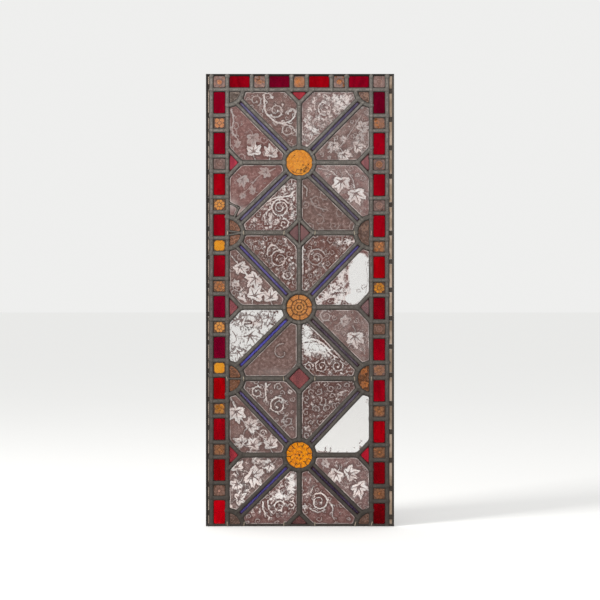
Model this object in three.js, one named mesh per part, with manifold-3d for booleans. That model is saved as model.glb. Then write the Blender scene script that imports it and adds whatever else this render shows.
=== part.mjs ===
// A leaded stained glass panel: three square lights stacked in one tall field, each with a round hub,
// eight painted quarries, four blue diagonal strips and red corner lozenges, inside a border of red
// oblongs and small amber squares. Every glass sits in H-section lead cames soldered into one net.
// Millimetres. X runs along the sill, +Y away from the room, +Z up. The origin is the middle of the sill edge.
import * as THREE from "three";
import { mergeVertices } from "three/addons/utils/BufferGeometryUtils.js";
import Module from "manifold-3d";

const wasm = await Module();
wasm.setup();

// ---- Driving dimensions -------------------------------------------------------------------------
const PANEL_WIDTH = 395;
const PANEL_HEIGHT = 949;
const SPINE_X = -1.5; // the field was leaded up a little to the left of the middle
const FIELD_HALF_WIDTH = 151; // spine to the inner border came
const BORDER_WIDTH = 33.5; // between the border's two long cames
const HEAD_CAME_Z = 916; // the came under the head border

const LIGHT_NAMES = ["bottom", "middle", "top"];
const HUB_Z = [149, 459, 763];
const ROW_Z = [0, 309.5, 615.5, HEAD_CAME_Z]; // the sill, two cross rows and the head came

const GLASS_THICKNESS = 3;
const GLAZING_GAP = 0.3; // between glass and lead, filled with cement in the real panel
const HEART = 1.6; // the came's upright web
const LEAF = 1.3; // the came's flat leaf, front or back
const EDGE_LEAF = 4; // leaf width of the U-section came round the outside

const FIELD_CAME = 9.5; // leaf widths of the H-section cames
const BORDER_CAME = 8.5;
const LOZENGE_CAME = 8;
const BOSS_CAME = 9.5;
const HUB_CAME = 8;
const STRIP_CAME = 7;
const MENDING_CAME = 4;

const HUB_RADIUS = 32; // came centre lines
const BOSS_RADIUS = 33;
const STRIP_HALF_WIDTH = 6.7;
const LOZENGE_REACH = 28.5;
const TRIANGLE_DEPTH = 29;
const TRIANGLE_HALF_HEIGHT = 31;

const SIDE_OBLONGS = 11;
const SIDE_OBLONG_LENGTH = { left: 54.2, right: 54.6 };
const SIDE_SQUARE_LENGTH = { left: 31.5, right: 31.8 };
const HEAD_OBLONGS = 4;
const HEAD_OBLONG_LENGTH = 51.5;
const HEAD_SQUARE_LENGTH = 32;
const HEAD_SPLIT = 2; // the short came in the head where the border's left and right halves part

const TIE_LENGTH = 9; // stubs of the copper ties that held the panel to its saddle bars
const TIE_WIDTH = 1.8;
const TIE_REACH = [32.5, 116.5, FIELD_HALF_WIDTH]; // to both sides of the spine

// ---- Levels and lines that follow from them -----------------------------------------------------
const HALF_CHANNEL = GLASS_THICKNESS / 2 + GLAZING_GAP;
const HALF_DEPTH = HALF_CHANNEL + LEAF;
const HALF_WIDTH = PANEL_WIDTH / 2;
const RING_STEPS = 20;
const SIDES = [-1, 1];
const SIDE_NAME = { [-1]: "left", 1: "right" };

function innerCameX(side) {
  return SPINE_X + side * FIELD_HALF_WIDTH;
}

function outerCameX(side) {
  return innerCameX(side) + side * BORDER_WIDTH;
}

// ---- Solids -------------------------------------------------------------------------------------
function solidOf(geometry) {
  const bare = geometry.clone();
  bare.deleteAttribute("normal");
  bare.deleteAttribute("uv");
  const merged = mergeVertices(bare, 1e-4);
  return new wasm.Manifold(
    new wasm.Mesh({
      numProp: 3,
      vertProperties: new Float32Array(merged.attributes.position.array),
      triVerts: new Uint32Array(merged.index.array),
    }),
  );
}

function geometryOf(solid) {
  const mesh = solid.getMesh();
  const geometry = new THREE.BufferGeometry();
  geometry.setAttribute("position", new THREE.BufferAttribute(mesh.vertProperties, 3));
  geometry.setIndex(new THREE.BufferAttribute(mesh.triVerts, 1));
  geometry.computeVertexNormals();
  return geometry;
}

function join(solids) {
  return wasm.Manifold.union(solids);
}

// A block standing across the whole depth given, half of it on each side of the glass's middle.
function block(x0, x1, z0, z1, depth) {
  const geometry = new THREE.BoxGeometry(x1 - x0, depth, z1 - z0);
  geometry.translate((x0 + x1) / 2, 0, (z0 + z1) / 2);
  return solidOf(geometry);
}

// A straight bar from one point of the XZ plane to another.
function bar([x0, z0], [x1, z1], width, depth) {
  const geometry = new THREE.BoxGeometry(width, depth, Math.hypot(x1 - x0, z1 - z0));
  geometry.rotateY(Math.atan2(x1 - x0, z1 - z0));
  geometry.translate((x0 + x1) / 2, 0, (z0 + z1) / 2);
  return solidOf(geometry);
}

// A flat ring round an axis along Y.
function hoop([x, z], radius, width, depth) {
  const inner = radius - width / 2;
  const outer = radius + width / 2;
  const profile = [
    new THREE.Vector2(inner, -depth / 2),
    new THREE.Vector2(outer, -depth / 2),
    new THREE.Vector2(outer, depth / 2),
    new THREE.Vector2(inner, depth / 2),
    new THREE.Vector2(inner, -depth / 2),
  ];
  const geometry = new THREE.LatheGeometry(profile, RING_STEPS);
  geometry.translate(x, 0, z);
  return solidOf(geometry);
}

// ---- The layout: every came as a line or a ring -------------------------------------------------
const lines = [];
const rings = [];

// A came that parts the glass has a heart; one that only crosses it is two leaves.
function came(from, to, width, parts = true) {
  lines.push({ from, to, width, parts });
}

// The field's frame of cames, and the border's outer one, which rides on the border's glass.
function layLongCames() {
  for (const side of SIDES) {
    const inner = innerCameX(side);
    const outer = outerCameX(side);
    came([inner, 0], [inner, HEAD_CAME_Z], BORDER_CAME);
    came([inner, HEAD_CAME_Z], [inner, PANEL_HEIGHT - HEART], BORDER_CAME, false);
    came([outer, HEART], [outer, PANEL_HEIGHT - HEART], BORDER_CAME, false);
  }
  came([innerCameX(-1), HEAD_CAME_Z], [innerCameX(1), HEAD_CAME_Z], BORDER_CAME);
}

// Where short cames cross a border of alternate oblongs and squares, with oblongs at both ends.
function crossingPlaces(oblongs, oblongLength, squareLength) {
  const places = [];
  for (let i = 0; i < oblongs - 1; i += 1) {
    const start = i * (oblongLength + squareLength);
    places.push(start + oblongLength, start + oblongLength + squareLength);
  }
  return places;
}

function layShortCames() {
  for (const side of SIDES) {
    const oblong = SIDE_OBLONG_LENGTH[SIDE_NAME[side]];
    const square = SIDE_SQUARE_LENGTH[SIDE_NAME[side]];
    for (const drop of [0, ...crossingPlaces(SIDE_OBLONGS, oblong, square)]) {
      const z = HEAD_CAME_Z - drop;
      came([innerCameX(side), z], [outerCameX(side), z], BORDER_CAME, false);
    }
  }
  crossingPlaces(HEAD_OBLONGS, HEAD_OBLONG_LENGTH, HEAD_SQUARE_LENGTH).forEach((place, i) => {
    const x = innerCameX(-1) + place;
    came([x, HEAD_CAME_Z], [x, PANEL_HEIGHT - HEART], BORDER_CAME, i === HEAD_SPLIT);
  });
}

// The pair of cames that hold a blue strip, from the hub's ring to the corner's boss.
function layStrip([x0, z0], [x1, z1]) {
  const run = Math.hypot(x1 - x0, z1 - z0);
  const along = [(x1 - x0) / run, (z1 - z0) / run];
  const start = Math.sqrt(HUB_RADIUS ** 2 - STRIP_HALF_WIDTH ** 2);
  const end = run - Math.sqrt(BOSS_RADIUS ** 2 - STRIP_HALF_WIDTH ** 2);
  for (const side of SIDES) {
    const aside = [side * STRIP_HALF_WIDTH * along[1], -side * STRIP_HALF_WIDTH * along[0]];
    const at = (distance) => [x0 + along[0] * distance + aside[0], z0 + along[1] * distance + aside[1]];
    came(at(start), at(end), STRIP_CAME);
  }
}

function layLight(index) {
  const hubZ = HUB_Z[index];
  const below = ROW_Z[index];
  const above = ROW_Z[index + 1];
  rings.push({ centre: [SPINE_X, hubZ], radius: HUB_RADIUS, width: HUB_CAME, parts: true });
  came([SPINE_X, hubZ + HUB_RADIUS], [SPINE_X, above - LOZENGE_REACH], FIELD_CAME);
  came([SPINE_X, hubZ - HUB_RADIUS], [SPINE_X, below + LOZENGE_REACH], FIELD_CAME);
  for (const side of SIDES) {
    const edge = innerCameX(side);
    const tip = [edge - side * TRIANGLE_DEPTH, hubZ];
    came([SPINE_X + side * HUB_RADIUS, hubZ], tip, FIELD_CAME);
    for (const up of SIDES) {
      came(tip, [edge, hubZ + up * TRIANGLE_HALF_HEIGHT], LOZENGE_CAME);
      layStrip([SPINE_X, hubZ], [edge, up > 0 ? above : below]);
    }
  }
}

// A row between two lights, or the half of one at the sill and at the head.
function layRow(index) {
  const z = ROW_Z[index];
  const ends = [index === 0, index === ROW_Z.length - 1];
  const reaches = SIDES.filter((up) => !ends[up > 0 ? 1 : 0]);
  for (const side of SIDES) {
    const start = SPINE_X + side * LOZENGE_REACH;
    const edge = innerCameX(side);
    rings.push({ centre: [edge, z], radius: BOSS_RADIUS, width: BOSS_CAME, parts: true });
    if (reaches.length === 2) {
      came([start, z], [edge - side * BOSS_RADIUS, z], FIELD_CAME);
    }
    for (const up of reaches) {
      came([start, z], [SPINE_X, z + up * LOZENGE_REACH], LOZENGE_CAME);
    }
  }
}

// Old repairs: thin leads run over breaks in one glass, so they part nothing here.
function mend(...points) {
  points.slice(1).forEach((point, i) => came(points[i], point, MENDING_CAME, false));
}

function layMendings() {
  const [, lowerRow, upperRow] = ROW_Z;
  const edge = innerCameX(-1);
  const bossEdge = edge + BOSS_RADIUS;
  mend([bossEdge, lowerRow], [edge, lowerRow]);
  mend([edge, upperRow + 4], [bossEdge, upperRow], [edge, upperRow - 5]);
  mend([SPINE_X, upperRow - LOZENGE_REACH], [SPINE_X, upperRow + LOZENGE_REACH]);
  mend([edge, upperRow + 62], [edge + 20, upperRow + 54], [edge + 28, upperRow + 40]);
}

layLongCames();
layShortCames();
LIGHT_NAMES.forEach((name, index) => layLight(index));
ROW_Z.forEach((z, index) => layRow(index));
layMendings();

// ---- The lead net and the glass -----------------------------------------------------------------
// What a sheet of this depth leaves between the cames, when each is as wide as widthOf says.
function betweenCames(edge, depth, widthOf) {
  const sheet = block(-HALF_WIDTH + edge, HALF_WIDTH - edge, edge, PANEL_HEIGHT - edge, depth);
  const field = block(innerCameX(-1), innerCameX(1), 0, HEAD_CAME_Z, 2 * depth);
  const bars = lines
    .filter((line) => widthOf(line) > 0)
    .map((line) => bar(line.from, line.to, widthOf(line), 2 * depth));
  const hoops = rings.map((ring) => hoop(ring.centre, ring.radius, widthOf(ring), 2 * depth));
  return sheet.subtract(join([...bars, join(hoops).intersect(field)]));
}

// A stub of tie wire soldered flat on the front of the net, its free end bent outwards.
function tieStub(x, z) {
  const geometry = new THREE.BoxGeometry(TIE_WIDTH, TIE_WIDTH, TIE_LENGTH);
  geometry.rotateX(THREE.MathUtils.degToRad(14));
  geometry.rotateY(THREE.MathUtils.degToRad(x > 0 ? 20 : -24));
  geometry.translate(x, -HALF_DEPTH - TIE_WIDTH / 3, z);
  return solidOf(geometry);
}

function tieStubs() {
  const stubs = [];
  for (const row of ROW_Z.slice(0, -1)) {
    for (const reach of TIE_REACH.flatMap((x) => [-x, x])) {
      stubs.push(tieStub(SPINE_X + reach, Math.max(row, TIE_LENGTH / 2 + 0.5)));
    }
  }
  return join(stubs);
}

// The net is a plate as deep as the cames, less the sight openings between their leaves and the
// channels that hold the glass between their hearts.
function leadNet() {
  const plate = block(-HALF_WIDTH, HALF_WIDTH, 0, PANEL_HEIGHT, 2 * HALF_DEPTH);
  const sights = betweenCames(EDGE_LEAF, 3 * HALF_DEPTH, ({ width }) => width);
  const channels = betweenCames(HEART, 2 * HALF_CHANNEL, ({ parts }) => (parts ? HEART : 0));
  return plate.subtract(sights).subtract(channels).add(tieStubs());
}

function cutGlass() {
  const kerf = HEART + 2 * GLAZING_GAP;
  const glass = betweenCames(HEART + GLAZING_GAP, GLASS_THICKNESS, ({ parts }) => (parts ? kerf : 0));
  return glass.decompose();
}

// ---- Names, each with a point inside its glass --------------------------------------------------
const QUARRY_ANGLE = {
  right_upper: 22,
  above_right: 68,
  above_left: 112,
  left_upper: 158,
  left_lower: 202,
  below_left: 248,
  below_right: 292,
  right_lower: 338,
};
const QUARRY_REACH = 85;
const STRIP_REACH = [55, 56];
const CORNERS = { right_top: [1, 1], left_top: [-1, 1], left_low: [-1, -1], right_low: [1, -1] };

function glassPlaces() {
  const places = [];
  const add = (name, kind, x, z) => places.push({ name, kind, x, z });
  LIGHT_NAMES.forEach((light, i) => {
    const z = HUB_Z[i];
    add(`roundel_${light}`, "amber", SPINE_X, z);
    for (const [where, degrees] of Object.entries(QUARRY_ANGLE)) {
      const angle = THREE.MathUtils.degToRad(degrees);
      const x = SPINE_X + QUARRY_REACH * Math.cos(angle);
      add(`quarry_${light}_${where}`, "painted", x, z + QUARRY_REACH * Math.sin(angle));
    }
    for (const [where, [across, up]] of Object.entries(CORNERS)) {
      const x = SPINE_X + across * STRIP_REACH[0];
      add(`blue_strip_${light}_${where}`, "blue", x, z + up * STRIP_REACH[1]);
    }
    for (const side of SIDES) {
      const x = innerCameX(side) - (side * TRIANGLE_DEPTH) / 3;
      add(`red_triangle_${light}_${SIDE_NAME[side]}`, "red", x, z);
    }
  });
  const rowNames = ["sill", "lower_row", "upper_row", "head"];
  rowNames.forEach((row, i) => {
    const into = [LOZENGE_REACH / 3, 0, 0, -LOZENGE_REACH / 3][i];
    add(`red_lozenge_${row}`, "red", SPINE_X, ROW_Z[i] + into);
    for (const side of SIDES) {
      add(`boss_${row}_${SIDE_NAME[side]}`, "brown", innerCameX(side) - side * 12, ROW_Z[i] + into);
    }
  });
  for (const side of SIDES) {
    const x = innerCameX(side) + (side * BORDER_WIDTH) / 2;
    add(`border_glass_${SIDE_NAME[side]}`, "red", x, PANEL_HEIGHT / 2);
  }
  return places;
}

function holds(solid, x, z) {
  const probe = block(x - 0.5, x + 0.5, z - 0.5, z + 0.5, GLASS_THICKNESS / 2);
  return solid.intersect(probe).volume() > 0;
}

// ---- Materials ----------------------------------------------------------------------------------
const LOOKS = {
  lead: { color: 0x6b6963, roughness: 0.62, metalness: 0.55 },
  painted: { color: 0x86706a, roughness: 0.6, metalness: 0 },
  amber: { color: 0xe0922a, roughness: 0.2, metalness: 0 },
  blue: { color: 0x4a4590, roughness: 0.2, metalness: 0 },
  red: { color: 0x9c0418, roughness: 0.15, metalness: 0 },
  brown: { color: 0x8f6a52, roughness: 0.5, metalness: 0 },
};

function meshOf(name, solid, look) {
  const material = new THREE.MeshStandardMaterial({ ...LOOKS[look], flatShading: true });
  const mesh = new THREE.Mesh(geometryOf(solid), material);
  mesh.name = name;
  return mesh;
}

// ---- The panel ----------------------------------------------------------------------------------
const panel = new THREE.Group();
panel.add(meshOf("lead_came_net", leadNet(), "lead"));

const cutPieces = cutGlass();
for (const { name, kind, x, z } of glassPlaces()) {
  const piece = cutPieces.find((candidate) => holds(candidate, x, z));
  if (!piece) throw new Error(`no glass at the place of ${name}`);
  panel.add(meshOf(name, piece, kind));
}
if (panel.children.length !== cutPieces.length + 1) {
  throw new Error(`${cutPieces.length} glass pieces, but ${panel.children.length - 1} names`);
}

export default panel;
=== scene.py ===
"""The leaded stained glass panel, dressed: domed cames with solder at their joints, hand-blown glass,
fired brown paint with vine leaves and scrolls, and the wear and mending of an old window."""

import math

import bpy
import numpy as np
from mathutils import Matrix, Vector
from mathutils.geometry import delaunay_2d_cdt


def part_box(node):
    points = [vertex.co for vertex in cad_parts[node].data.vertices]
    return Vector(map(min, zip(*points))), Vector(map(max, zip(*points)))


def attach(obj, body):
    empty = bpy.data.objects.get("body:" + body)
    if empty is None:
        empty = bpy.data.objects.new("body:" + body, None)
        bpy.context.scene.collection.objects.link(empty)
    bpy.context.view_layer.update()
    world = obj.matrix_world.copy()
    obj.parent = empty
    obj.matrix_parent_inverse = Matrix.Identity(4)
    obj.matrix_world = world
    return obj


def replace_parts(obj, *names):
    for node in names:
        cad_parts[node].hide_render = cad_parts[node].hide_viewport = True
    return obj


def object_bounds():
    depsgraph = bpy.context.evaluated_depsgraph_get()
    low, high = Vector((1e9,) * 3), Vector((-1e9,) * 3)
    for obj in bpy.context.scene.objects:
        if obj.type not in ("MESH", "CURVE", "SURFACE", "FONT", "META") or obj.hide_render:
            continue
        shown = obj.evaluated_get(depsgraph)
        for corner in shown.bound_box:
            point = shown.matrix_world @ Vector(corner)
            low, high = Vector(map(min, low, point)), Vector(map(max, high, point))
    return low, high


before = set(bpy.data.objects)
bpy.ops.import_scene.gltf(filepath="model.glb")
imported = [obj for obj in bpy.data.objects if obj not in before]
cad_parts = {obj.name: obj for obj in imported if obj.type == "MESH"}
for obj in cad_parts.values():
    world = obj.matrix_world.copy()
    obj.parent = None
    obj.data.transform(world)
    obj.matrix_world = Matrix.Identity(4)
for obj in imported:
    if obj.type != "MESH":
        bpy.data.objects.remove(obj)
cad_low, cad_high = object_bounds()

# ---- Sizes, in millimetres unless a name says otherwise --------------------------------------------
MM = 0.001
GLASS = 3.0
CHANNEL = 1.8  # half the came's channel
CROWN = 3.05  # from the glass's middle to the top of a came's back leaf
CROWN_FRONT = 3.35  # its front leaf is domed
HEART = 1.6
CLEARANCE = 1.1  # from a came's centre line to the glass's edge
EDGE_LEAF = 4.0
CAME_INSET = 0.4  # from the panel's head and foot to the ends of the border's long cames
EDGE_INSET = 0.8  # from the panel's head or foot to its outermost glass's clearance
FIELD_CAME, BORDER_CAME, LOZENGE_CAME, BOSS_CAME = 9.5, 8.5, 8.0, 9.5
HUB_CAME, STRIP_CAME, MENDING_CAME = 8.0, 7.0, 3.6
STRIP_HALF_WIDTH = 6.7
LOZENGE_REACH = 28.5
TRIANGLE_DEPTH, TRIANGLE_HALF_HEIGHT = 29.0, 31.0
BORDER_WIDTH = 33.5
SIDE_OBLONGS, HEAD_OBLONGS = 11, 4
OBLONG = {-1: 54.2, 1: 54.6, 0: 51.5}  # lengths on the left, on the right and in the head
SQUARE = {-1: 31.5, 1: 31.8, 0: 32.0}
SIDES = (-1, 1)
SIDE_NAME = {-1: "left", 1: "right"}
LIGHTS = ("bottom", "middle", "top")
FRONT_PITCH = 1.3  # between the points of a painted face
BACK_PITCH = 2.6
PLAIN_PITCH = 3.0
BOSS_PITCH, BORDER_PITCH = 1.6, 2.4


# ---- Places, read from the CAD nodes ---------------------------------------------------------------
def plan(node):
    """A node's box in the plane of the glass: x0, z0, x1, z1 in millimetres."""
    low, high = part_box(node)
    return low.x / MM, low.z / MM, high.x / MM, high.z / MM


def middle(node):
    x0, z0, x1, z1 = plan(node)
    return (x0 + x1) / 2, (z0 + z1) / 2


HALF_WIDTH = cad_high.x / MM
HEIGHT = cad_high.z / MM
SPINE = middle("roundel_middle")[0]
HUBS = {light: middle(f"roundel_{light}")[1] for light in LIGHTS}
HUB_RADIUS = (plan("roundel_middle")[2] - plan("roundel_middle")[0]) / 2 + CLEARANCE
INNER = {-1: plan("boss_lower_row_left")[0] - CLEARANCE, 1: plan("boss_lower_row_right")[2] + CLEARANCE}
OUTER = {side: INNER[side] + side * BORDER_WIDTH for side in SIDES}
BOSS_RADIUS = (plan("boss_lower_row_left")[3] - plan("boss_lower_row_left")[1]) / 2 + CLEARANCE
HEAD = plan("red_lozenge_head")[3] + CLEARANCE
ROWS = [0.0, middle("boss_lower_row_left")[1], middle("boss_upper_row_left")[1], HEAD]

# ---- The net of cames ------------------------------------------------------------------------------
cames = []  # (from, to, width)
hoops = []  # (centre, radius, width, start angle, end angle)
joints = []  # (x, z, radius of the solder)


def came(start, end, width, solder=(True, True)):
    cames.append((np.array(start, float), np.array(end, float), width))
    for place, wanted in zip((start, end), solder):
        if wanted:
            joints.append((place[0], place[1], 0.5 + width * 0.55))


def crossings(oblongs, oblong, square):
    places = []
    for i in range(oblongs - 1):
        start = i * (oblong + square)
        places += [start + oblong, start + oblong + square]
    return places


SIDE_CUTS = {side: [HEAD - cut for cut in crossings(SIDE_OBLONGS, OBLONG[side], SQUARE[side])] for side in SIDES}
HEAD_CUTS = [INNER[-1] + cut for cut in crossings(HEAD_OBLONGS, OBLONG[0], SQUARE[0])]


def lay_border():
    for side in SIDES:
        for x in (INNER[side], OUTER[side]):
            came((x, CAME_INSET), (x, HEIGHT - CAME_INSET), BORDER_CAME)
        for z in [HEAD] + SIDE_CUTS[side]:
            came((INNER[side], z), (OUTER[side], z), BORDER_CAME)
    came((INNER[-1], HEAD), (INNER[1], HEAD), BORDER_CAME)
    for x in HEAD_CUTS:
        came((x, HEAD), (x, HEIGHT - 1.0), BORDER_CAME)


def lay_strip(hub, corner):
    gap = np.array(corner) - np.array(hub)
    run = np.hypot(*gap)
    along = gap / run
    aside = np.array([along[1], -along[0]]) * STRIP_HALF_WIDTH
    start = math.sqrt(HUB_RADIUS**2 - STRIP_HALF_WIDTH**2)
    end = run - math.sqrt(BOSS_RADIUS**2 - STRIP_HALF_WIDTH**2)
    for side in SIDES:
        came(hub + along * start + side * aside, hub + along * end + side * aside, STRIP_CAME)


def lay_light(index):
    hub_z = HUBS[LIGHTS[index]]
    below, above = ROWS[index], ROWS[index + 1]
    hoops.append(((SPINE, hub_z), HUB_RADIUS, HUB_CAME, 0, 360))
    came((SPINE, hub_z + HUB_RADIUS), (SPINE, above - LOZENGE_REACH), FIELD_CAME)
    came((SPINE, hub_z - HUB_RADIUS), (SPINE, below + LOZENGE_REACH), FIELD_CAME)
    for side in SIDES:
        tip = (INNER[side] - side * TRIANGLE_DEPTH, hub_z)
        came((SPINE + side * HUB_RADIUS, hub_z), tip, FIELD_CAME)
        for up in SIDES:
            came(tip, (INNER[side], hub_z + up * TRIANGLE_HALF_HEIGHT), LOZENGE_CAME)
            lay_strip((SPINE, hub_z), (INNER[side], above if up > 0 else below))


def lay_row(index):
    z = ROWS[index]
    ups = [up for up in SIDES if not (index == 0 and up < 0) and not (index == 3 and up > 0)]
    for side in SIDES:
        start = SPINE + side * LOZENGE_REACH
        for up in ups:
            away = 180 if side > 0 else 0
            sweep = (away, away - 90 * side * up)
            hoops.append(((INNER[side], z), BOSS_RADIUS, BOSS_CAME, min(sweep), max(sweep)))
            came((start, z), (SPINE, z + up * LOZENGE_REACH), LOZENGE_CAME)
            joints.append((INNER[side], z + up * BOSS_RADIUS, 5.5))
        if len(ups) == 2:
            came((start, z), (INNER[side] - side * BOSS_RADIUS, z), FIELD_CAME)


def mend(*points):
    for start, end in zip(points, points[1:]):
        came(start, end, MENDING_CAME, solder=(False, True))


def lay_mendings():
    edge, lower, upper = INNER[-1], ROWS[1], ROWS[2]
    boss_edge = edge + BOSS_RADIUS
    mend((boss_edge, lower), (edge, lower))
    mend((edge, upper + 4), (boss_edge, upper), (edge, upper - 5))
    mend((SPINE, upper - LOZENGE_REACH), (SPINE, upper + LOZENGE_REACH))
    mend((edge, upper + 65), (edge + 20, upper + 55), (edge + 24, upper + 52))
    mend((edge + 24, upper + 53), (edge + 14, upper + 31))


lay_border()
for light_index in range(3):
    lay_light(light_index)
for row_index in range(4):
    lay_row(row_index)
lay_mendings()


# ---- Meshes ----------------------------------------------------------------------------------------
def placed(name, data):
    thing = bpy.data.objects.new(name, data)
    bpy.context.scene.collection.objects.link(thing)
    return thing


def make_object(name, vertices, faces, material, sharp=35):
    """A mesh from millimetres, on the panel's one body."""
    mesh = bpy.data.meshes.new(name)
    mesh.from_pydata((np.asarray(vertices, float) * MM).tolist(), [], [list(map(int, f)) for f in faces])
    mesh.validate()
    mesh.shade_smooth()
    mesh.set_sharp_from_angle(angle=math.radians(sharp))
    mesh.materials.append(material)
    piece = placed(name, mesh)
    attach(piece, "root")
    return piece


class Shells:
    """Closed shells gathered into one mesh, with numbers for the materials at each point."""

    def __init__(self):
        self.vertices, self.faces, self.count, self.numbers, self.colours = [], [], 0, {}, {}

    def add(self, vertices, faces, numbers=None, colours=None):
        vertices = np.asarray(vertices, float)
        self.vertices.append(vertices)
        self.faces += [[i + self.count for i in face] for face in faces]
        self.count += len(vertices)
        for key, value in (numbers or {}).items():
            self.numbers.setdefault(key, []).append(np.zeros(len(vertices)) + value)
        for key, value in (colours or {}).items():
            self.colours.setdefault(key, []).append(np.zeros((len(vertices), 3)) + np.array(value))

    def make(self, name, material, slot, sharp=35):
        piece = make_object(name, np.concatenate(self.vertices), self.faces, material, sharp)
        for key, values in self.numbers.items():
            attribute = piece.data.attributes.new(key, "FLOAT", "POINT")
            attribute.data.foreach_set("value", np.concatenate(values).astype(np.float32))
        for key, values in self.colours.items():
            attribute = piece.data.attributes.new(key, "FLOAT_COLOR", "POINT")
            rgba = np.ones((self.count, 4), np.float32)
            rgba[:, :3] = np.concatenate(values)
            attribute.data.foreach_set("color", rgba.ravel())
        return piece


def wander(random, count, size, reach=6):
    """A gentle run of random offsets, count long."""
    rough = random.normal(size=count + 4 * reach)
    window = np.hanning(2 * reach + 1)
    smooth = np.convolve(rough, window / np.sqrt((window**2).sum()), mode="same")
    return size * smooth[2 * reach : 2 * reach + count]


def h_section(width):
    """The came's outline as rows of (share of half width, millimetres across, depth)."""
    half = width / 2
    front = [(-1.0, -CHANNEL), (-1.0, -2.1), (-0.86, -2.7), (-0.5, -3.15), (0, -CROWN_FRONT)]
    front += [(0.5, -3.15), (0.86, -2.7), (1.0, -2.1), (1.0, -CHANNEL)]
    outline = [(share * half, depth) for share, depth in front]
    outline += [(HEART / 2, -CHANNEL), (HEART / 2, CHANNEL)]
    outline += [(half, CHANNEL), (0.86 * half, 2.7), (0, CROWN), (-0.86 * half, 2.7), (-half, CHANNEL)]
    outline += [(-HEART / 2, CHANNEL), (-HEART / 2, -CHANNEL)]
    return np.array(outline)


def u_section():
    leaf = EDGE_LEAF
    front = [(leaf, -CHANNEL), (leaf, -2.3), (leaf - 0.8, -2.8), (1.2, -CROWN), (0.4, -2.8), (0, -2.3)]
    outline = front + [(across, -depth) for across, depth in reversed(front)]
    return np.array(outline + [(HEART, CHANNEL), (HEART, -CHANNEL)])


def edge_share(section, count):
    """How near each point of a swept section is to its leaf's edge: 0 on the crown, 1 at the edge."""
    low, high = section[:, 0].min(), section[:, 0].max()
    share = np.abs(section[:, 0] - (low + high) / 2) / ((high - low) / 2)
    share[np.abs(section[:, 1]) < CHANNEL + 0.01] = 1.0
    return np.tile(share, count)


def tube_faces(stations, sides, closed=False):
    """Faces round a row of rings, capped at both ends unless the row is closed."""
    faces = []
    for i in range(stations if closed else stations - 1):
        j = (i + 1) % stations
        for k in range(sides):
            m = (k + 1) % sides
            faces.append([i * sides + k, i * sides + m, j * sides + m, j * sides + k])
    if not closed:
        faces.append(list(range(sides))[::-1])
        faces.append([(stations - 1) * sides + k for k in range(sides)])
    return faces


def swept(path, section, widths, rises, closed=False):
    """A section carried along a path in the plane of the glass."""
    path = np.asarray(path, float)
    ahead = np.roll(path, -1, 0) - path if closed else np.gradient(path, axis=0)
    if closed:
        ahead = ahead + np.roll(ahead, 1, 0)
    ahead /= np.hypot(ahead[:, 0], ahead[:, 1])[:, None]
    aside = np.stack([ahead[:, 1], -ahead[:, 0]], 1)
    across = section[None, :, 0] * widths[:, None]
    depth = section[None, :, 1] * np.where(np.abs(section[None, :, 1]) > CHANNEL + 0.1, rises[:, None], 1)
    flat = path[:, None, :] + aside[:, None, :] * across[:, :, None]
    flat[:, :, 0] = np.clip(flat[:, :, 0], -HALF_WIDTH, HALF_WIDTH)
    flat[:, :, 1] = np.clip(flat[:, :, 1], 0, HEIGHT)
    vertices = np.stack([flat[:, :, 0], depth, flat[:, :, 1]], 2).reshape(-1, 3)
    return vertices, tube_faces(len(path), len(section), closed)


def came_shells():
    shells = Shells()
    random = np.random.RandomState(11)
    for start, end, width in cames:
        run = np.hypot(*(end - start))
        steps = max(3, int(run / 7) + 1)
        path = start + (end - start) * np.linspace(0, 1, steps)[:, None]
        aside = np.array([(end - start)[1], -(end - start)[0]]) / run
        hold = np.sin(np.linspace(0, math.pi, steps))
        path = path + aside * (wander(random, steps, 0.28) * hold)[:, None]
        widths = 1 + wander(random, steps, 0.022, 3)
        rises = 1 - np.abs(wander(random, steps, 0.025, 2))
        section = h_section(width)
        shells.add(*swept(path, section, widths, rises), {"edge": edge_share(section, steps), "grime": 0.0})
    for (x, z), radius, width, start, end in hoops:
        closed = end - start == 360
        steps = int((end - start) / 7.5)
        turns = np.radians(np.linspace(start, end, steps, endpoint=not closed))
        wobble = 0 if closed else 0.125
        path = np.stack([x + radius * np.cos(turns), z + radius * np.sin(turns)], 1)
        path = path + wobble * np.sin(turns * 5)[:, None]
        path[:, 1] = np.maximum(path[:, 1], 0.3)
        widths = np.ones(len(path)) + 0.02 * np.sin(turns * 3 + x)
        section = h_section(width)
        dull = {"edge": edge_share(section, len(path)), "grime": 0.12}
        shells.add(*swept(path, section, widths, np.full(len(path), 0.985), closed), dull)
    return shells


# How dark the outer came is made along each side: dirt, and along the left and head mostly painted shade.
EDGE_GRIME_AND_SHADE = (0.45, 0.97, 1.0, 0.45)  # foot, left, head, right


def add_edges(shells):
    random = np.random.RandomState(5)
    corners = [(HALF_WIDTH, 0), (-HALF_WIDTH, 0), (-HALF_WIDTH, HEIGHT), (HALF_WIDTH, HEIGHT)]
    for start, end, grime in zip(corners, corners[1:] + corners[:1], EDGE_GRIME_AND_SHADE):
        start, end = np.array(start, float), np.array(end, float)
        steps = int(np.hypot(*(end - start)) / 8)
        path = start + (end - start) * np.linspace(0, 1, steps)[:, None]
        widths = 1 + wander(random, steps, 0.03)
        rises = 1 - np.abs(wander(random, steps, 0.02))
        section = u_section()
        shells.add(*swept(path, section, widths, rises), {"edge": edge_share(section, steps), "grime": grime})


# Solder is a low, uneven blob over each joint, front and back.
SPOKES = 14
RINGS = ((1.0, 2.5), (0.86, 3.3), (0.5, 3.75), (0.0, 3.9))  # share of the radius, depth
JOINT_GAP, SOLDER_INSET = 4, 6.0
SOLDER_EDGE = 0.2  # how near the head and foot it may come


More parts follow.
